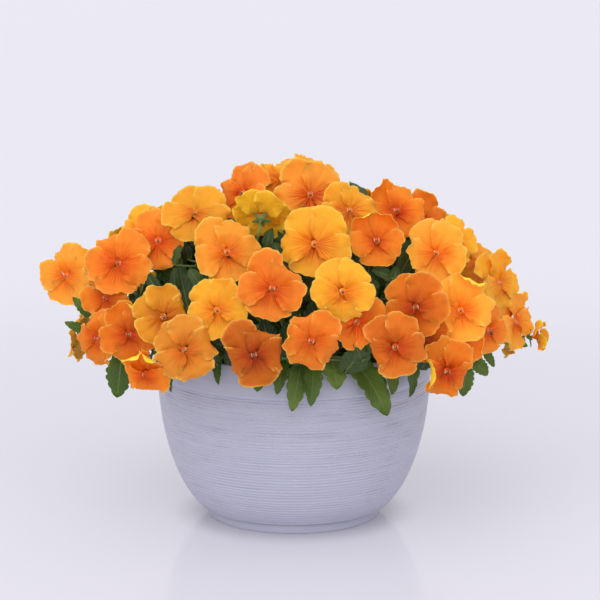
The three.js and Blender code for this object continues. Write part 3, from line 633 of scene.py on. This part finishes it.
def petal_sheet(bloom, number, x, y, rolls):
    """A petal's sheet over the square of x (root to tip) and y: places on the bloom's u, v and n."""
    at, long, wide, level, slope = PETALS[number]
    key = bloom.seed * 7.3 + number
    along, across = from_square(x, y)
    out = np.hypot(along, across)
    turn = np.arctan2(across, along)
    lobes = ripples(turn, key, ((0.045, 2, 0), (0.03, 5, 0.1), (0.014, 11, 0.2), (0.012, 17, 0.25)))
    notch = (0.1 if number == LIP else 0.05 * draw(key + 0.9)) * np.exp(-(turn / 0.3) ** 2)
    grown = 1 + (lobes - notch) * out ** 3
    along, across = along * grown, across * grown
    middle, reach = (PETAL_FROM + long) / 2, (long - PETAL_FROM) / 2
    p = middle + reach * along - ROOT_DRAWN * np.clip(-2 * along - 1, 0, 1) ** 1.5
    q = wide * across * (1 + 0.1 * along)
    p, q = p * bloom.size, q * bloom.size
    waves = ripples(turn, key, ((2.0, 3, 0.3), (1.3, 6, 0.4))) * out ** 3
    waves += ripples(turn, key, ((0.6 * draw(key + 0.45), 11, 0.5), (0.45, 17, 0.55))) * out ** 5
    waves *= bloom.size / FULL_SIZE
    pleats = 0.22 * np.sin(26 * np.arctan2(q, np.maximum(p, 1)) + 6 * draw(key + 0.8)) * out
    hollow = (1.6 * draw(key + 0.6) - 0.4) * (out * out)
    groove = -0.7 * np.exp(-(q / 1.5) ** 2) * np.clip(1 - out, 0, 1)
    z = level + slope * p + waves + pleats - hollow + groove
    for start, angle in rolls or [(0.5, BEND * (2 * draw(key + 0.65) - 1.15))]:
        begin = start * long * bloom.size
        radius = (long * bloom.size - begin) / radians(angle or 1)
        past = np.clip(p - begin, 0, None) / radius
        lifted = z - level
        p = np.where(past != 0, begin + (radius - lifted) * np.sin(past), p)
        z = np.where(past != 0, level + radius - (radius - lifted) * np.cos(past), z)
    b = radians(at)
    return np.stack([p * cos(b) - q * sin(b), p * sin(b) + q * cos(b), z], -1)


def closed_sheet(across, along):
    """A flat square of two joined skins: the front at z 0 and the back just under it."""
    bm = bmesh.new()
    bmesh.ops.create_grid(bm, x_segments=along, y_segments=across, size=1)
    if bm.faces[:][0].normal.z < 0:
        bmesh.ops.reverse_faces(bm, faces=bm.faces)
    twin = bmesh.ops.duplicate(bm, geom=bm.verts[:] + bm.edges[:] + bm.faces[:])["geom"]
    back = [part for part in twin if isinstance(part, bmesh.types.BMFace)]
    bmesh.ops.reverse_faces(bm, faces=back)
    bmesh.ops.translate(bm, verts=[part for part in twin if isinstance(part, bmesh.types.BMVert)],
                        vec=(0, 0, -0.05))
    rim = [edge for edge in bm.edges if edge.is_boundary]
    for face in back + bmesh.ops.bridge_loops(bm, edges=rim)["faces"]:
        face.material_index = 1
    bmesh.ops.recalc_face_normals(bm, faces=bm.faces)
    return bm


PETAL_ACROSS = 20
PETAL_ALONG = 22
APART = 4                     # between the parts of the bloom's pattern, laid out in a row
NECK, THROAT, STYLE, BEARD = 5, 6, 7, 8  # their places in the row, after the five petals
BEARD_SPREAD = 3              # the hairs are drawn in by this, to fit into their place
HAIRS = 12  # on each side of the throat
HAIR = 1.4
BACK_SKIN = -0.02  # below this on a pattern, a point is on the back skin


def bloom_pattern():
    """The parts of a bloom in a row: five flat petals, then the neck, throat, style and hairs."""
    bm = bmesh.new()
    for number in range(len(PETALS)):
        join(bm, closed_sheet(PETAL_ACROSS, PETAL_ALONG), number)
    neck = bmesh.new()
    bmesh.ops.create_uvsphere(neck, u_segments=14, v_segments=10, radius=1)
    join(bm, neck, NECK, 0)
    for place, index in ((THROAT, 3), (STYLE, 2)):
        ball = bmesh.new()
        bmesh.ops.create_icosphere(ball, subdivisions=2, radius=1)
        join(bm, ball, place, index)
    for k in range(2 * HAIRS):
        hair = bmesh.new()
        bmesh.ops.create_cone(hair, cap_ends=True, segments=4, radius1=0.14, radius2=0.03, depth=HAIR)
        lean = Matrix.Rotation(radians(46 + 30 * draw(k + 0.7)), 4, "Y")
        row, place = divmod(k, HAIRS)
        side = 1 if row else -1
        up = 2.8 * (place / (HAIRS - 1) - 0.5) + 0.4
        spot = Vector((side * (1.6 + 0.5 * draw(k)), up, 1.8 + 0.5 * draw(k + 0.3)))
        turned_in = Matrix.Rotation(pi * row, 4, "Z") @ lean
        bmesh.ops.transform(hair, verts=hair.verts, matrix=Matrix.Translation(spot) @ turned_in)
        join(bm, hair, BEARD, 2, BEARD_SPREAD)
    mesh = as_mesh(bm, "bloom_pattern")
    mesh.uv_layers.new(name="UVMap")
    mesh.color_attributes.new("petal", "FLOAT_COLOR", "POINT")
    return mesh


def join(bm, part, place, index=None, spread=1):
    """Adds a part to a mesh, at its place in the row, all in one of the materials if one is given."""
    bmesh.ops.scale(part, verts=part.verts, vec=(1 / spread,) * 3)
    bmesh.ops.translate(part, verts=part.verts, vec=(APART * place, 0, 0))
    if index is not None:
        for face in part.faces:
            face.material_index = index
    move_in(bm, as_mesh(part, "part"))


def read(items, field, width):
    values = np.empty(len(items) * width, np.float32)
    items.foreach_get(field, values)
    return values.reshape(-1, width).astype(float)


def write(items, field, values):
    items.foreach_set(field, np.asarray(values, np.float32).ravel())


def write_uv(mesh, uv):
    """Gives each corner of a mesh's faces the UV of its point."""
    points = read(mesh.loops, "vertex_index", 1).astype(int).ravel()
    write(mesh.uv_layers["UVMap"].data, "uv", uv[points])


PATTERN = bloom_pattern()
PATTERN_AT = read(PATTERN.vertices, "co", 3)
STEP = 0.01  # on the square, to find which way a sheet faces


def petal_skins(bloom, number, x, y, behind, rolls):
    """Where the points of a petal's two skins lie on the bloom."""
    sx, sy = np.where(x < 0, STEP, -STEP), np.where(y < 0, STEP, -STEP)
    here, dx, dy = (petal_sheet(bloom, number, x + a, y + b, rolls)
                    for a, b in ((0, 0), (sx, 0), (0, sy)))
    facing = np.cross(dx - here, dy - here) * np.sign(sx * sy)[:, None]
    facing /= np.maximum(np.linalg.norm(facing, axis=1), 1e-9)[:, None]
    half = SHEET * (1 - 0.75 * np.hypot(*from_square(x, y)) ** 8)
    return here + facing * np.where(behind, -half, half)[:, None]


def bloom_mesh(bloom):
    """One bloom as a mesh in millimetres, with its petals' marks and the UV that veins follow."""
    part = np.round(PATTERN_AT[:, 0] / APART).astype(int)
    local = PATTERN_AT - np.outer(part, (APART, 0, 0))
    flat, marks, uv = (np.zeros((len(local), width)) for width in (3, 4, 2))
    # The alpha mark is a random tone plus, for some blooms, their painted shade and light.
    marks[:, 3] = draw(bloom.seed + 0.77) + PAINTED_SHADE_AND_LIGHT.get(bloom.seed, 0)
    for number, (at, long, *_) in enumerate(PETALS):
        chosen = part == number
        x, y = np.clip(local[chosen, :2].T, -0.999, 0.999)
        rolls = [roll for which, *roll in ROLLED.get(bloom.seed, ()) if which == number]
        flat[chosen] = petal_skins(bloom, number, x, y, local[chosen, 2] < BACK_SKIN, rolls)
        plain = petal_sheet(bloom, number, x, y, [])
        away = np.hypot(plain[:, 0], plain[:, 1]) / (bloom.size * long)
        rooted = np.clip((x + 0.95) / 0.5, 0, 1)
        strong = MARKED[number]
        marks[chosen, 0] = np.clip(away, 0, 1)
        marks[chosen, 1] = np.clip(np.hypot(*from_square(x, y)) * rooted, 0, 1)
        marks[chosen, 2] = strong * (0.5 + 0.8 * draw(bloom.seed + 0.31))
        marks[chosen, 3] += 0.35 * (0.7 - strong) + 0.25 * (draw(bloom.seed * 3.7 + number) - 0.5)
        bearing = np.degrees(np.arctan2(plain[:, 1], plain[:, 0])) - at
        uv[chosen, 0] = ((bearing + 180) % 360 - 180 + at) / 360
        uv[chosen, 1] = away * 0.5 + bloom.seed
    neck = part == NECK
    x, y, z = local[neck].T
    narrow = 3.4 * (1 + 0.55 * np.minimum(z, 0))
    flat[neck] = np.stack([x * narrow, y * narrow, np.where(z < 0, BLOOM_BACK, 0.2) * z], -1)
    marks[neck, 0] = 0.1
    for place, size, shift in ((THROAT, (1.0, 1.2, 0.8), (0, -0.4, 1.1)),
                               (STYLE, (0.4, 0.35, 0.5), (0, 0.5, 1.7)),
                               (BEARD, BEARD_SPREAD, 0)):
        flat[part == place] = local[part == place] * size + shift
    mesh = PATTERN.copy()
    write(mesh.vertices, "co", bloom.placed(flat))
    write(mesh.attributes["petal"].data, "color", marks)
    write_uv(mesh, uv)
    return mesh


def place_blooms():
    """Finds every bloom's place. Returns (node, blooms, hue) for each bloom or bunch."""
    found = []
    for number, (x, z, size, turn, tilt, roll, hue) in enumerate(NEAR_BLOOMS):
        at = seen_on_dome(x, z, 1)
        blooms = [Bloom(number, at, size, turn, tilt, roll)]
        found.append((f"bloom_{number + 1:02}", blooms, hue))
        settle(blooms, (at - EYE).normalized(), found[-1][0])
    for ring, (lift, tilt, bearings, third, reach) in enumerate(FAR_RINGS):
        for i, bearing in enumerate(bearings):
            seed = RING_SEEDS * ring + BUNCH_SEEDS * i
            blooms = far_bunch(bearing, lift, tilt, third, reach, seed)
            hue = FAR_HUES[(ring + i) % len(FAR_HUES)]
            found.append((f"bloom_bunch_{len(found) + 1:02}", blooms, hue))
            settle(blooms, heading(bearing + 180, 0), found[-1][0])
    return found


def make_blooms(found):
    fronts = {hue: petal_material(hue) for hue in HUES}
    backs = {hue: petal_material(hue, back=True) for hue in HUES}
    # The pale, faintly pink hairs, and the greenish, shaded mouth between them.
    beard = mottled_material("beard", 900.0, (0.92, 0.45, 0.28), (1.0, 0.76, 0.6), Roughness=0.5,
                             Subsurface_Weight=0.3, Subsurface_Scale=0.002)
    throat = mottled_material("throat", 1200.0, (0.06, 0.04, 0.008), (0.22, 0.17, 0.02), Roughness=0.55)
    for node, blooms, hue in found:
        bm = bmesh.new()
        for bloom in blooms:
            move_in(bm, bloom_mesh(bloom))
        name = node.replace("bloom_bunch", "pansies").replace("bloom", "pansy")
        place_piece(name, bm, [fronts[hue], backs[hue], beard, throat], node)


# ---- Plants ----

PLANT_BEARINGS = (0, 120, 240)
STOCK_R = 5
STOCK_DEPTH = 24
CROWN_H = 16
STEM_ROOT = 4
STEM_BOW = 12
STEM_FAN = ((-50, 8), (0, 2), (50, 8), (-34, 48), (34, 48), (0, 84))
STEM_REACH = 0.66
STEM_STEPS = 5
JOINT_SHARES = (0.2, 0.5, 0.8)
STEM_R = 2.8
STEM_TAPER = 0.2
STALK_R = 1.2
CALYX_H = 6
CALYX = (1.25, 1.4, 1.9, 2.5, 2.2)  # radii of a stalk where it swells into the bloom
# Bends that a stalk may have: how far behind the bloom, how far down, and how far to a side.
ROUTES = [(run, drop, swing) for swing in (0, -16, 16, -32, 32) for drop in (6, 20, 36, 0)
          for run in (16, 24, 12)]
PETIOLE = 1.2
LEAF_STEP = 4
LEAF_STEPS = 7

# Leaves that show: where the base and the tip are seen, the width, and at the sides the depth.
RIM_LEAVES = [
    ((-103, 146), (-114, 114), 9), ((-68, 148), (-70, 121), 10), ((-27, 146), (-34, 114), 24),
    ((-8, 148), (-16, 111), 14), ((8, 147), (-2, 95), 20), ((18, 147), (15, 101), 18),
    ((34, 150), (40, 116), 24), ((50, 150), (86, 91), 30), ((83, 146), (88, 112), 18),
    ((103, 147), (107, 109), 20),
]
SIDE_LEAVES = [
    ((-159, 152), (-164, 109), 27, -70), ((-186, 185), (-205, 205), 11, -40),
    ((-190, 172), (-213, 181), 10, -30), ((161, 140), (157, 109), 17, -80),
    ((166, 146), (180, 130), 15, -60), ((176, 156), (186, 138), 9, -50),
    ((196, 163), (218, 155), 10, -30),
]
GAP_LEAVES = [
    ((-96, 184), (-107, 237), 26), ((5, 216), (-20, 249), 24), ((84, 202), (109, 247), 30),
    ((84, 216), (75, 251), 20), ((-22, 154), (-29, 184), 22), ((-73, 142), (-84, 165), 14),
]
GAP_REACH = 0.82
GAP_LEAN = 0.14
INNER_LEAVES = 48
INNER_HEIGHTS = (-0.1, 1.09)  # the lowest, and the span, as shares of the dome's height
GOLDEN_ANGLE = 137.508
LEAF_REACH = 0.74
LEAF_LEAN = 38
LEAF_SWING = 50
LEAF_LONG_HALF = 20
LEAF_LONG_MORE = 6
# Painted light and shade: leaves are painted paler at the outside of the mound and darker inside it, and
# the small fills darkest, as the shade among the blooms.
OUTER_SHADE = 0.6  # leaves are paler outside, darker inside and darkest as fills
INNER_SHADE = 0.0
FILL_SHADE = -0.2


def bezier(root, bend, tip, steps):
    return [root * (1 - t) ** 2 + bend * (2 * t * (1 - t)) + tip * t * t
            for t in (k / steps for k in range(steps + 1))]


class Plant:
    """One plant: its stems, the joints on them, and the solid that it stands for."""

    def __init__(self, number, bearing):
        self.node = f"pansy_plant_{number + 1}"
        self.corners = Corners(self.node)
        self.foot = heading(bearing, 0) * PLANT_R + Vector((0, 0, SOIL_Z - STOCK_DEPTH))
        self.crown = self.foot.copy()
        self.crown.z = SOIL_Z + CROWN_H
        self.stems, self.joints, self.stalks, self.leaves, self.fills = [], [], [], [], []
        for swing, lift in STEM_FAN:
            tip = dome_point(bearing + swing, lift, STEM_REACH)
            bend = self.crown.lerp(tip, 0.45)
            bend.z = (self.crown.z + tip.z) / 2 + STEM_BOW
            root = self.crown - Vector((0, 0, STEM_ROOT))
            rings = bezier(root, bend, tip, STEM_STEPS)
            self.stems.append(bezier(root, bend, tip, 3 * STEM_STEPS))
            self.joints += [rings[i].lerp(rings[i + 1], share) for i in range(1, STEM_STEPS)
                            for share in JOINT_SHARES]

    def joint_for(self, anchors, origin):
        """The joint that the edges at a stalk's end run towards, and how well they do."""
        places, near = self.corners.places, self.corners.near
        best = (None, 0)
        for joint in self.joints:
            way = (joint - origin).normalized()
            score = sum(max((places[j] - places[i]).normalized().dot(way) for j in near[i])
                        for i in anchors) / len(anchors)
            if score > best[1]:
                best = (joint, score)
        return best


def add_stalk(bloom, plants):
    """Gives the right plant a bloom's stalk, with the joint it starts from and the bend in it."""
    sideways = Vector((-bloom.n.y, bloom.n.x, 0)).normalized()
    best = (0, None, None, None)
    for plant in plants:
        for run, drop, swing in ROUTES:
            elbow = bloom.behind(run) + sideways * swing - Vector((0, 0, drop))
            ring = [i for _, i, away in plant.corners.tree.find_range(elbow, STALK_R + NEARLY)
                    if away > STALK_R - NEARLY]
            if len(ring) > 1:
                joint, score = plant.joint_for(ring, elbow)
                if joint and score + len(ring) > best[0]:
                    best = (score + len(ring), plant, joint, elbow)
    _, plant, joint, elbow = best
    if plant:
        plant.stalks.append((bloom, joint, elbow))


class Leaf:
    """A blade from base to tip with its face to one side, and the way back to its plant."""

    def __init__(self, base, tip, face, wide, arch, away, shade=OUTER_SHADE):
        self.base, self.tip, self.face, self.wide = base, tip, face, wide
        self.arch, self.away, self.shade, self.joint = arch, away, shade, None
        self.seed = base.x * 0.13 + tip.z * 0.07

    def axes(self):
        along = self.tip - self.base
        long = along.length
        along.normalize()
        n = (self.face - along * self.face.dot(along)).normalized()
        return along, along.cross(n), n, long

    def grow(self, plants):
        """Moves the leaf to where it grew on one of the plants, and gives it to that plant."""
        side = self.axes()[1] * PETIOLE
        for step in range(LEAF_STEPS):
            base, tip = (end + self.away * (LEAF_STEP * step) for end in (self.base, self.tip))
            for plant in plants:
                ends = [plant.corners.at(end) for end in (base + side, base - side, tip)]
                if None in ends:
                    continue
                self.base, self.tip = base, tip
                self.joint, _ = plant.joint_for(ends[:2], base)
                plant.leaves.append(self)
                return


def rim_leaf(base, tip, wide):
    def on_ring(seen, r):
        return seen_at(*seen, -sqrt(r * r - seen[0] ** 2))

    start = on_ring(base, RIM_R - 6)
    start.z = max(start.z, RIM_Z + 8)
    end = on_ring(tip, RIM_R + 15)
    out = Vector((end.x, end.y, 0)).normalized()
    return Leaf(start, end, out + Vector((0, 0, 0.25)), wide, 0.12, out)


def side_leaf(base, tip, wide, y):
    start = seen_at(*base, y)
    face = Vector((copysign(0.2, start.x), -1, 0.3))
    return Leaf(start, seen_at(*tip, y - 6), face, wide, 0.06, Vector((0, 1, 0)))


def gap_leaf(base, tip, wide):
    start = seen_on_dome(*base, GAP_REACH - GAP_LEAN)
    away = (start - EYE).normalized()
    face = Vector((0, -1, 0.35))
    return Leaf(start, seen_on_dome(*tip, GAP_REACH), face, wide, 0.05, away, INNER_SHADE)


def dome_leaf(bearing, lift, reach, swing, lean, half, wide, shade):
    """A leaf on the dome that leans out of it, with its tip upwards and swung to one side."""
    middle = dome_point(bearing, lift, reach)
    up, out = heading(bearing, lift + 90), heading(bearing, lift)
    swing, lean = radians(swing), radians(lean)
    along = (up * cos(swing) + out.cross(up) * sin(swing)) * cos(lean)
    along += out * sin(lean)
    return Leaf(middle - along * half, middle + along * half, out, wide, 0.08, -out, shade)


def spread_lift(k, many, low, span):
    """The lift of one of many leaves that are spread evenly over the dome."""
    return degrees(asin(low + span * (k + 0.5) / many))


def inner_leaf(k):
    lift = spread_lift(k, INNER_LEAVES, *INNER_HEIGHTS)
    half = LEAF_LONG_HALF + LEAF_LONG_MORE * draw(k + 0.25)
    return dome_leaf(k * GOLDEN_ANGLE, lift, LEAF_REACH + 0.1 * draw(k),
                     LEAF_SWING * (2 * draw(k + 0.5) - 1), LEAF_LEAN, half, half * 1.2, INNER_SHADE)


# Small leaves that only this surface has: they fill the mound behind the blooms.
FILL_TRIED = 900
FILL_LOW = 132  # so that they don't hang in view before the collar
FILL_STALK = 78  # the longest stalk of one
FILL_HEIGHTS = (-0.16, 1.15)
FILL_HALF = 9
FILL_MORE = 8
FILL_SWING = 70
FILL_LEAN = 10
FILL_LEAN_MORE = 35


def fill_leaf(k):
    lift = spread_lift(k, FILL_TRIED, *FILL_HEIGHTS)
    half = FILL_HALF + FILL_MORE * draw(k + 0.15)
    return dome_leaf(k * GOLDEN_ANGLE + 40, lift, 0.5 + 0.4 * draw(k + 0.35),
                     FILL_SWING * (2 * draw(k + 0.55) - 1), FILL_LEAN + FILL_LEAN_MORE * draw(k + 0.75),
                     half, half * 1.15, FILL_SHADE)


def add_fill(plants, found):
    """Small leaves in the room between the blooms, each on a stalk of the nearest joint."""
    petals = BVHTree.FromBMesh(solids(*(node for node, *_ in found)))
    for leaf in (fill_leaf(k) for k in range(FILL_TRIED)):
        if min(end.z - end.y * EYE.z / EYE.y for end in (leaf.base, leaf.tip)) < FILL_LOW:
            continue
        _, side, n, _ = leaf.axes()
        middle = leaf.base.lerp(leaf.tip, 0.5)
        half = side * (leaf.wide * 0.5)
        shape = BVHTree.FromPolygons(
            [leaf.base - n, middle + half, leaf.tip, middle - half, middle + n * 2],
            [(0, 1, 2, 3), (4, 1, 2), (4, 3, 0)])
        if shape.overlap(petals):
            continue
        long, _, _, plant, leaf.joint = min(
            ((joint - leaf.base).length, i, p, plant, joint)
            for p, plant in enumerate(plants) for i, joint in enumerate(plant.joints))
        way = (leaf.base - leaf.joint).normalized()
        if long <= FILL_STALK and not petals.ray_cast(leaf.joint, way, long)[0]:
            plant.fills.append(leaf)


def as_pattern(bm, name):
    """Turns a mesh into a pattern with the layers that every part of a plant has."""
    mesh = as_mesh(bm, name)
    mesh.uv_layers.new(name="UVMap")
    mesh.attributes.new("leaf_tone_and_painted_shade", "FLOAT", "POINT")
    return mesh


def stamp(bm, pattern, places, tone=0.5, uv=None):
    """Adds a copy of a pattern with its points at the places given."""
    copy = pattern.copy()
    write(copy.vertices, "co", places)
    write(copy.attributes["leaf_tone_and_painted_shade"].data, "value", np.full(len(copy.vertices), tone))
    if uv is not None:
        write_uv(copy, uv)
    move_in(bm, copy)


def tube_pattern(rings, sides):
    bm = turned([(0, 0)] + [(1, k) for k in range(rings)] + [(0, rings - 1)], sides)
    for face in bm.faces:
        face.material_index = 2
    return as_pattern(bm, "tube")


def stamp_tube(bm, pattern, path, radii, tone=0.5):
    """Lays a tube along a path with one radius at each of its points."""
    at = read(pattern.vertices, "co", 3)
    points = np.array(path, float)
    ahead = np.gradient(points, axis=0)
    ahead /= np.linalg.norm(ahead, axis=1)[:, None]
    across = np.zeros_like(points)
    side = np.cross(ahead[0], (0.3, 0.2, 0.9))
    for i, way in enumerate(ahead):
        side = side - way * side.dot(way)
        side /= np.linalg.norm(side)
        across[i] = side
    third = np.cross(ahead, across)
    ring = np.clip(np.round(at[:, 2]).astype(int), 0, len(points) - 1)
    r = np.asarray(radii, float)[ring][:, None]
    stamp(bm, pattern, points[ring] + r * (at[:, :1] * across[ring] + at[:, 1:2] * third[ring]), tone)


def smooth_path(knots, steps):
    """A smooth path through knots, with the given number of steps between each two."""
    knots = [2 * knots[0] - knots[1]] + list(knots) + [2 * knots[-1] - knots[-2]]
    path = []
    for a, b, c, d in zip(knots, knots[1:], knots[2:], knots[3:]):
        for t in (k / steps for k in range(steps)):
            path.append(0.5 * (2 * b + (c - a) * t + (2 * a - 5 * b + 4 * c - d) * t ** 2
                               + (3 * b - a - 3 * c + d) * t ** 3))
    return path + [knots[-2]]


TEETH = 6
BLADE = 0.35  # half the thickness of a leaf


def blade_places(leaf, local):
    """Where a leaf's points go. On the pattern, x runs from base to tip and y across."""
    along, side, n, long = leaf.axes()
    x, y, skin = local.T
    behind = skin < BACK_SKIN
    share = 0.5 + 0.5 * x
    half = 0.5 * leaf.wide * np.sin(np.pi * np.clip(share, 0, 1) ** 0.82) ** 0.66
    teeth = 1 - 0.17 * (1 - np.abs(np.sin(np.pi * TEETH * share)) ** 0.8) * np.abs(y) ** 2
    across = y * np.maximum(half * teeth, 0.9 * (1 - share))
    wave = 0.05 * leaf.wide * np.sin(7 * share + 6.3 * draw(leaf.seed)) * y
    wave += 0.035 * leaf.wide * np.sin(15 * share + 3 * y + 6.3 * draw(leaf.seed + 1)) * np.abs(y) ** 2
    fold = 0.07 * leaf.wide * np.abs(y) ** 1.3
    puffed = 0.25 * np.abs(np.sin(np.pi * TEETH * share - 2.4 * np.abs(y))) * (1 - np.abs(y))
    thick = BLADE * (1 - 0.6 * np.abs(y) ** 4) * np.where(behind, -1, 1)
    ribs = np.where(behind, -0.5, -0.25) * np.exp(-(y * leaf.wide / 3) ** 2) * (1 - share)
    lift = leaf.arch * long * 4 * share * (1 - share) + wave + fold + puffed + thick + ribs
    return np.array(leaf.base) + np.outer(share * long, along) + np.outer(across, side) + np.outer(lift, n)


SEPALS = 5
SEPAL_LONG = 8
SEPAL_WIDE = 4.2
SEPAL_TONE = 0.75


def sepal_places(bloom, number, local):
    """A narrow green sepal that hugs the bloom's neck and then spreads behind the petals."""
    x, y, skin = local.T
    share = 0.5 + 0.5 * x
    out = 1.6 + SEPAL_LONG * share * (0.55 + 0.45 * share)
    level = -BLOOM_BACK - 2.2 + 5.0 * np.sqrt(np.clip(share, 0, 1)) - 1.4 * share ** 2
    level += np.where(skin < BACK_SKIN, -0.25, 0.25) - 0.5 * y * y
    across = y * 0.5 * SEPAL_WIDE * np.sin(np.pi * np.clip(0.16 + 0.84 * share, 0, 1)) ** 0.8
    turn = radians(72 * number + 36 + 20 * draw(bloom.seed + number))
    u = out * cos(turn) - across * sin(turn)
    v = out * sin(turn) + across * cos(turn)
    return bloom.placed(np.stack([u, v, level], -1))


# Rings and sides of the tubes for stems, stalks, leaf stalks and stocks.
TUBES = ((3 * STEM_STEPS + 1, 12), (16, 8), (5, 6), (5, 16))
# Faces across and along on leaves, small inner leaves and sepals.
BLADES = ((10, 30), (6, 14), (3, 7))


def leafy_shape(plant, tubes, blades):
    """A plant's stock, stems, stalks with their sepals, and leaves, in one mesh."""
    stem_tube, stalk_tube, petiole_tube, stock_tube = tubes
    flat = {blade: read(blade.vertices, "co", 3) for blade in blades}
    uvs = {blade: 0.5 + 0.5 * flat[blade][:, 1::-1] for blade in blades}
    large, small, sepal = blades
    bm = bmesh.new()
    stock = smooth_path([plant.foot, plant.foot.lerp(plant.crown, 0.5), plant.crown], 2)
    stamp_tube(bm, stock_tube, stock,
               [STOCK_R - 0.1 - 0.7 * k / (len(stock) - 1) for k in range(len(stock))])
    for path in plant.stems:
        stamp_tube(bm, stem_tube, path, [STEM_R - 0.3 - STEM_TAPER * k / 3 for k in range(len(path))])
    for bloom, joint, elbow in plant.stalks:
        path = smooth_path([joint, elbow, bloom.behind(CALYX_H), bloom.behind(0)], 5)
        stamp_tube(bm, stalk_tube, path, [STALK_R] * (len(path) - len(CALYX)) + [*CALYX])
        for k in range(SEPALS):
            stamp(bm, sepal, sepal_places(bloom, k, flat[sepal]), SEPAL_TONE, uvs[sepal])
    for leaf in plant.leaves + plant.fills:
        blade = large if leaf in plant.leaves else small
        # Painted light and shade from the leaf's place in the mound, with a random tone.
        tone = leaf.shade + 0.4 * draw(leaf.seed)
        stamp(bm, blade, blade_places(leaf, flat[blade]), tone, uvs[blade])
        if leaf.joint is not None:
            path = smooth_path([leaf.joint, leaf.base, leaf.base.lerp(leaf.tip, 0.12)], 2)
            stamp_tube(bm, petiole_tube, path, [PETIOLE, 1.1, 1.0, 0.8, 0.3], tone)
    return bm


def make_plants(found):
    plants = [Plant(number, bearing) for number, bearing in enumerate(PLANT_BEARINGS)]
    for _, blooms, _ in found:
        for bloom in blooms:
            add_stalk(bloom, plants)
    for make, rows in ((rim_leaf, RIM_LEAVES), (side_leaf, SIDE_LEAVES), (gap_leaf, GAP_LEAVES)):
        for row in rows:
            make(*row).grow(plants)
    for k in range(INNER_LEAVES):
        inner_leaf(k).grow(plants)
    add_fill(plants, found)
    surfaces = [leaf_material(), leaf_material(under=True), stem_material()]
    tubes = [tube_pattern(*size) for size in TUBES]
    blades = [as_pattern(closed_sheet(*size), "blade") for size in BLADES]
    for plant in plants:
        name = plant.node.replace("pansy", "leafy")
        place_piece(name, leafy_shape(plant, tubes, blades), surfaces, plant.node)


# ---- Stage, lights and camera ----

STAGE = 30  # half the width of the floor, in metres
FLOOR_GLOW = 0.37  # painted light: the floor glows as if lit from below as well, so that shadows stay pale
# The glow's steps: from where to where in metres, and its shares there. The first runs out from the foot:
# the glow dies away under it as a painted contact shadow. The other two run towards the back: the glow
# dims behind the pot as the plant's painted shade, and brightens again further back.
FOOT_PAINTED_SHADOW = (0.079, 0.12, 0.4, 1.0)
BEHIND_POT_PAINTED_SHADE = (-0.1, 0.25, 1.0, 0.82)
BEYOND = (0.5, 1.05, 1.0, 1.22)
SKY = (0.98, 0.985, 1.0, 1)
SKY_STRENGTH = 0.9


def floor_material():
    floor = Finish("studio_floor", Roughness=0.7, Specular_IOR_Level=0.1, Coat_Weight=0.5,
                   Coat_Roughness=0.13, Emission_Color=(0.82, 0.8, 0.9, 1))
    back = floor.add("SeparateXYZ", {"Vector": floor.spot}, "Y")
    out = floor.add("VectorMath", {0: floor.spot}, ("Value",), operation="LENGTH")
    # Painted light: the floor's glow, with a painted contact shadow under the foot and painted shade
    # behind the pot.
    glow = floor.smooth_step(out, *FOOT_PAINTED_SHADOW) * floor.smooth_step(back, *BEHIND_POT_PAINTED_SHADE)
    glow = glow * floor.smooth_step(back, *BEYOND) * FLOOR_GLOW
    floor.feed(floor.surface["Emission Strength"], glow)
    return floor.done(floor.ramp(floor.grain(1.2, 2.0), (0.3, (0.425, 0.415, 0.465)),
                                 (0.7, (0.435, 0.425, 0.475))))


def make_stage():
    bm = bmesh.new()
    bmesh.ops.create_grid(bm, x_segments=8, y_segments=8, size=STAGE)
    mesh = as_mesh(bm, "studio_floor")
    mesh.materials.append(floor_material())
    new_object("studio_floor", mesh)
    world = bpy.data.worlds.new("studio")
    bpy.context.scene.world = world
    world.use_nodes = True
    back = world.node_tree.nodes["Background"]
    back.inputs["Color"].default_value = SKY
    back.inputs["Strength"].default_value = SKY_STRENGTH
    soft_sun("key", (-0.2, -0.3, 1.0), 0.42, 50)
    soft_sun("front", (-0.3, -1.6, 1.0), 0.95, 50)


def soft_sun(name, towards, strength, spread):
    """Even light from one side of a wide studio, spread over this many degrees."""
    data = bpy.data.lights.new(name, "SUN")
    data.energy = strength
    data.angle = radians(spread)
    new_object(name, data).rotation_euler = Vector(towards).to_track_quat("Z", "Y").to_euler()


CAMERA_AT = (0.0056, -3.4157, 0.9655)
CAMERA_TILT = 77.4  # degrees up from straight down
CAMERA_LENS = 226.8


def make_camera():
    data = bpy.data.cameras.new("camera")
    data.lens = CAMERA_LENS
    data.sensor_width = 36
    camera = new_object("camera", data)
    camera.location = CAMERA_AT
    camera.rotation_euler = (radians(CAMERA_TILT), 0, 0)
    bpy.context.scene.camera = camera
    bpy.context.scene.view_settings.view_transform = "Standard"


make_bowl()
make_soil()
BLOOMS = place_blooms()
make_blooms(BLOOMS)
make_plants(BLOOMS)
make_stage()
make_camera()

for spare in [mesh for mesh in bpy.data.meshes if mesh.users == 0]:
    bpy.data.meshes.remove(spare)
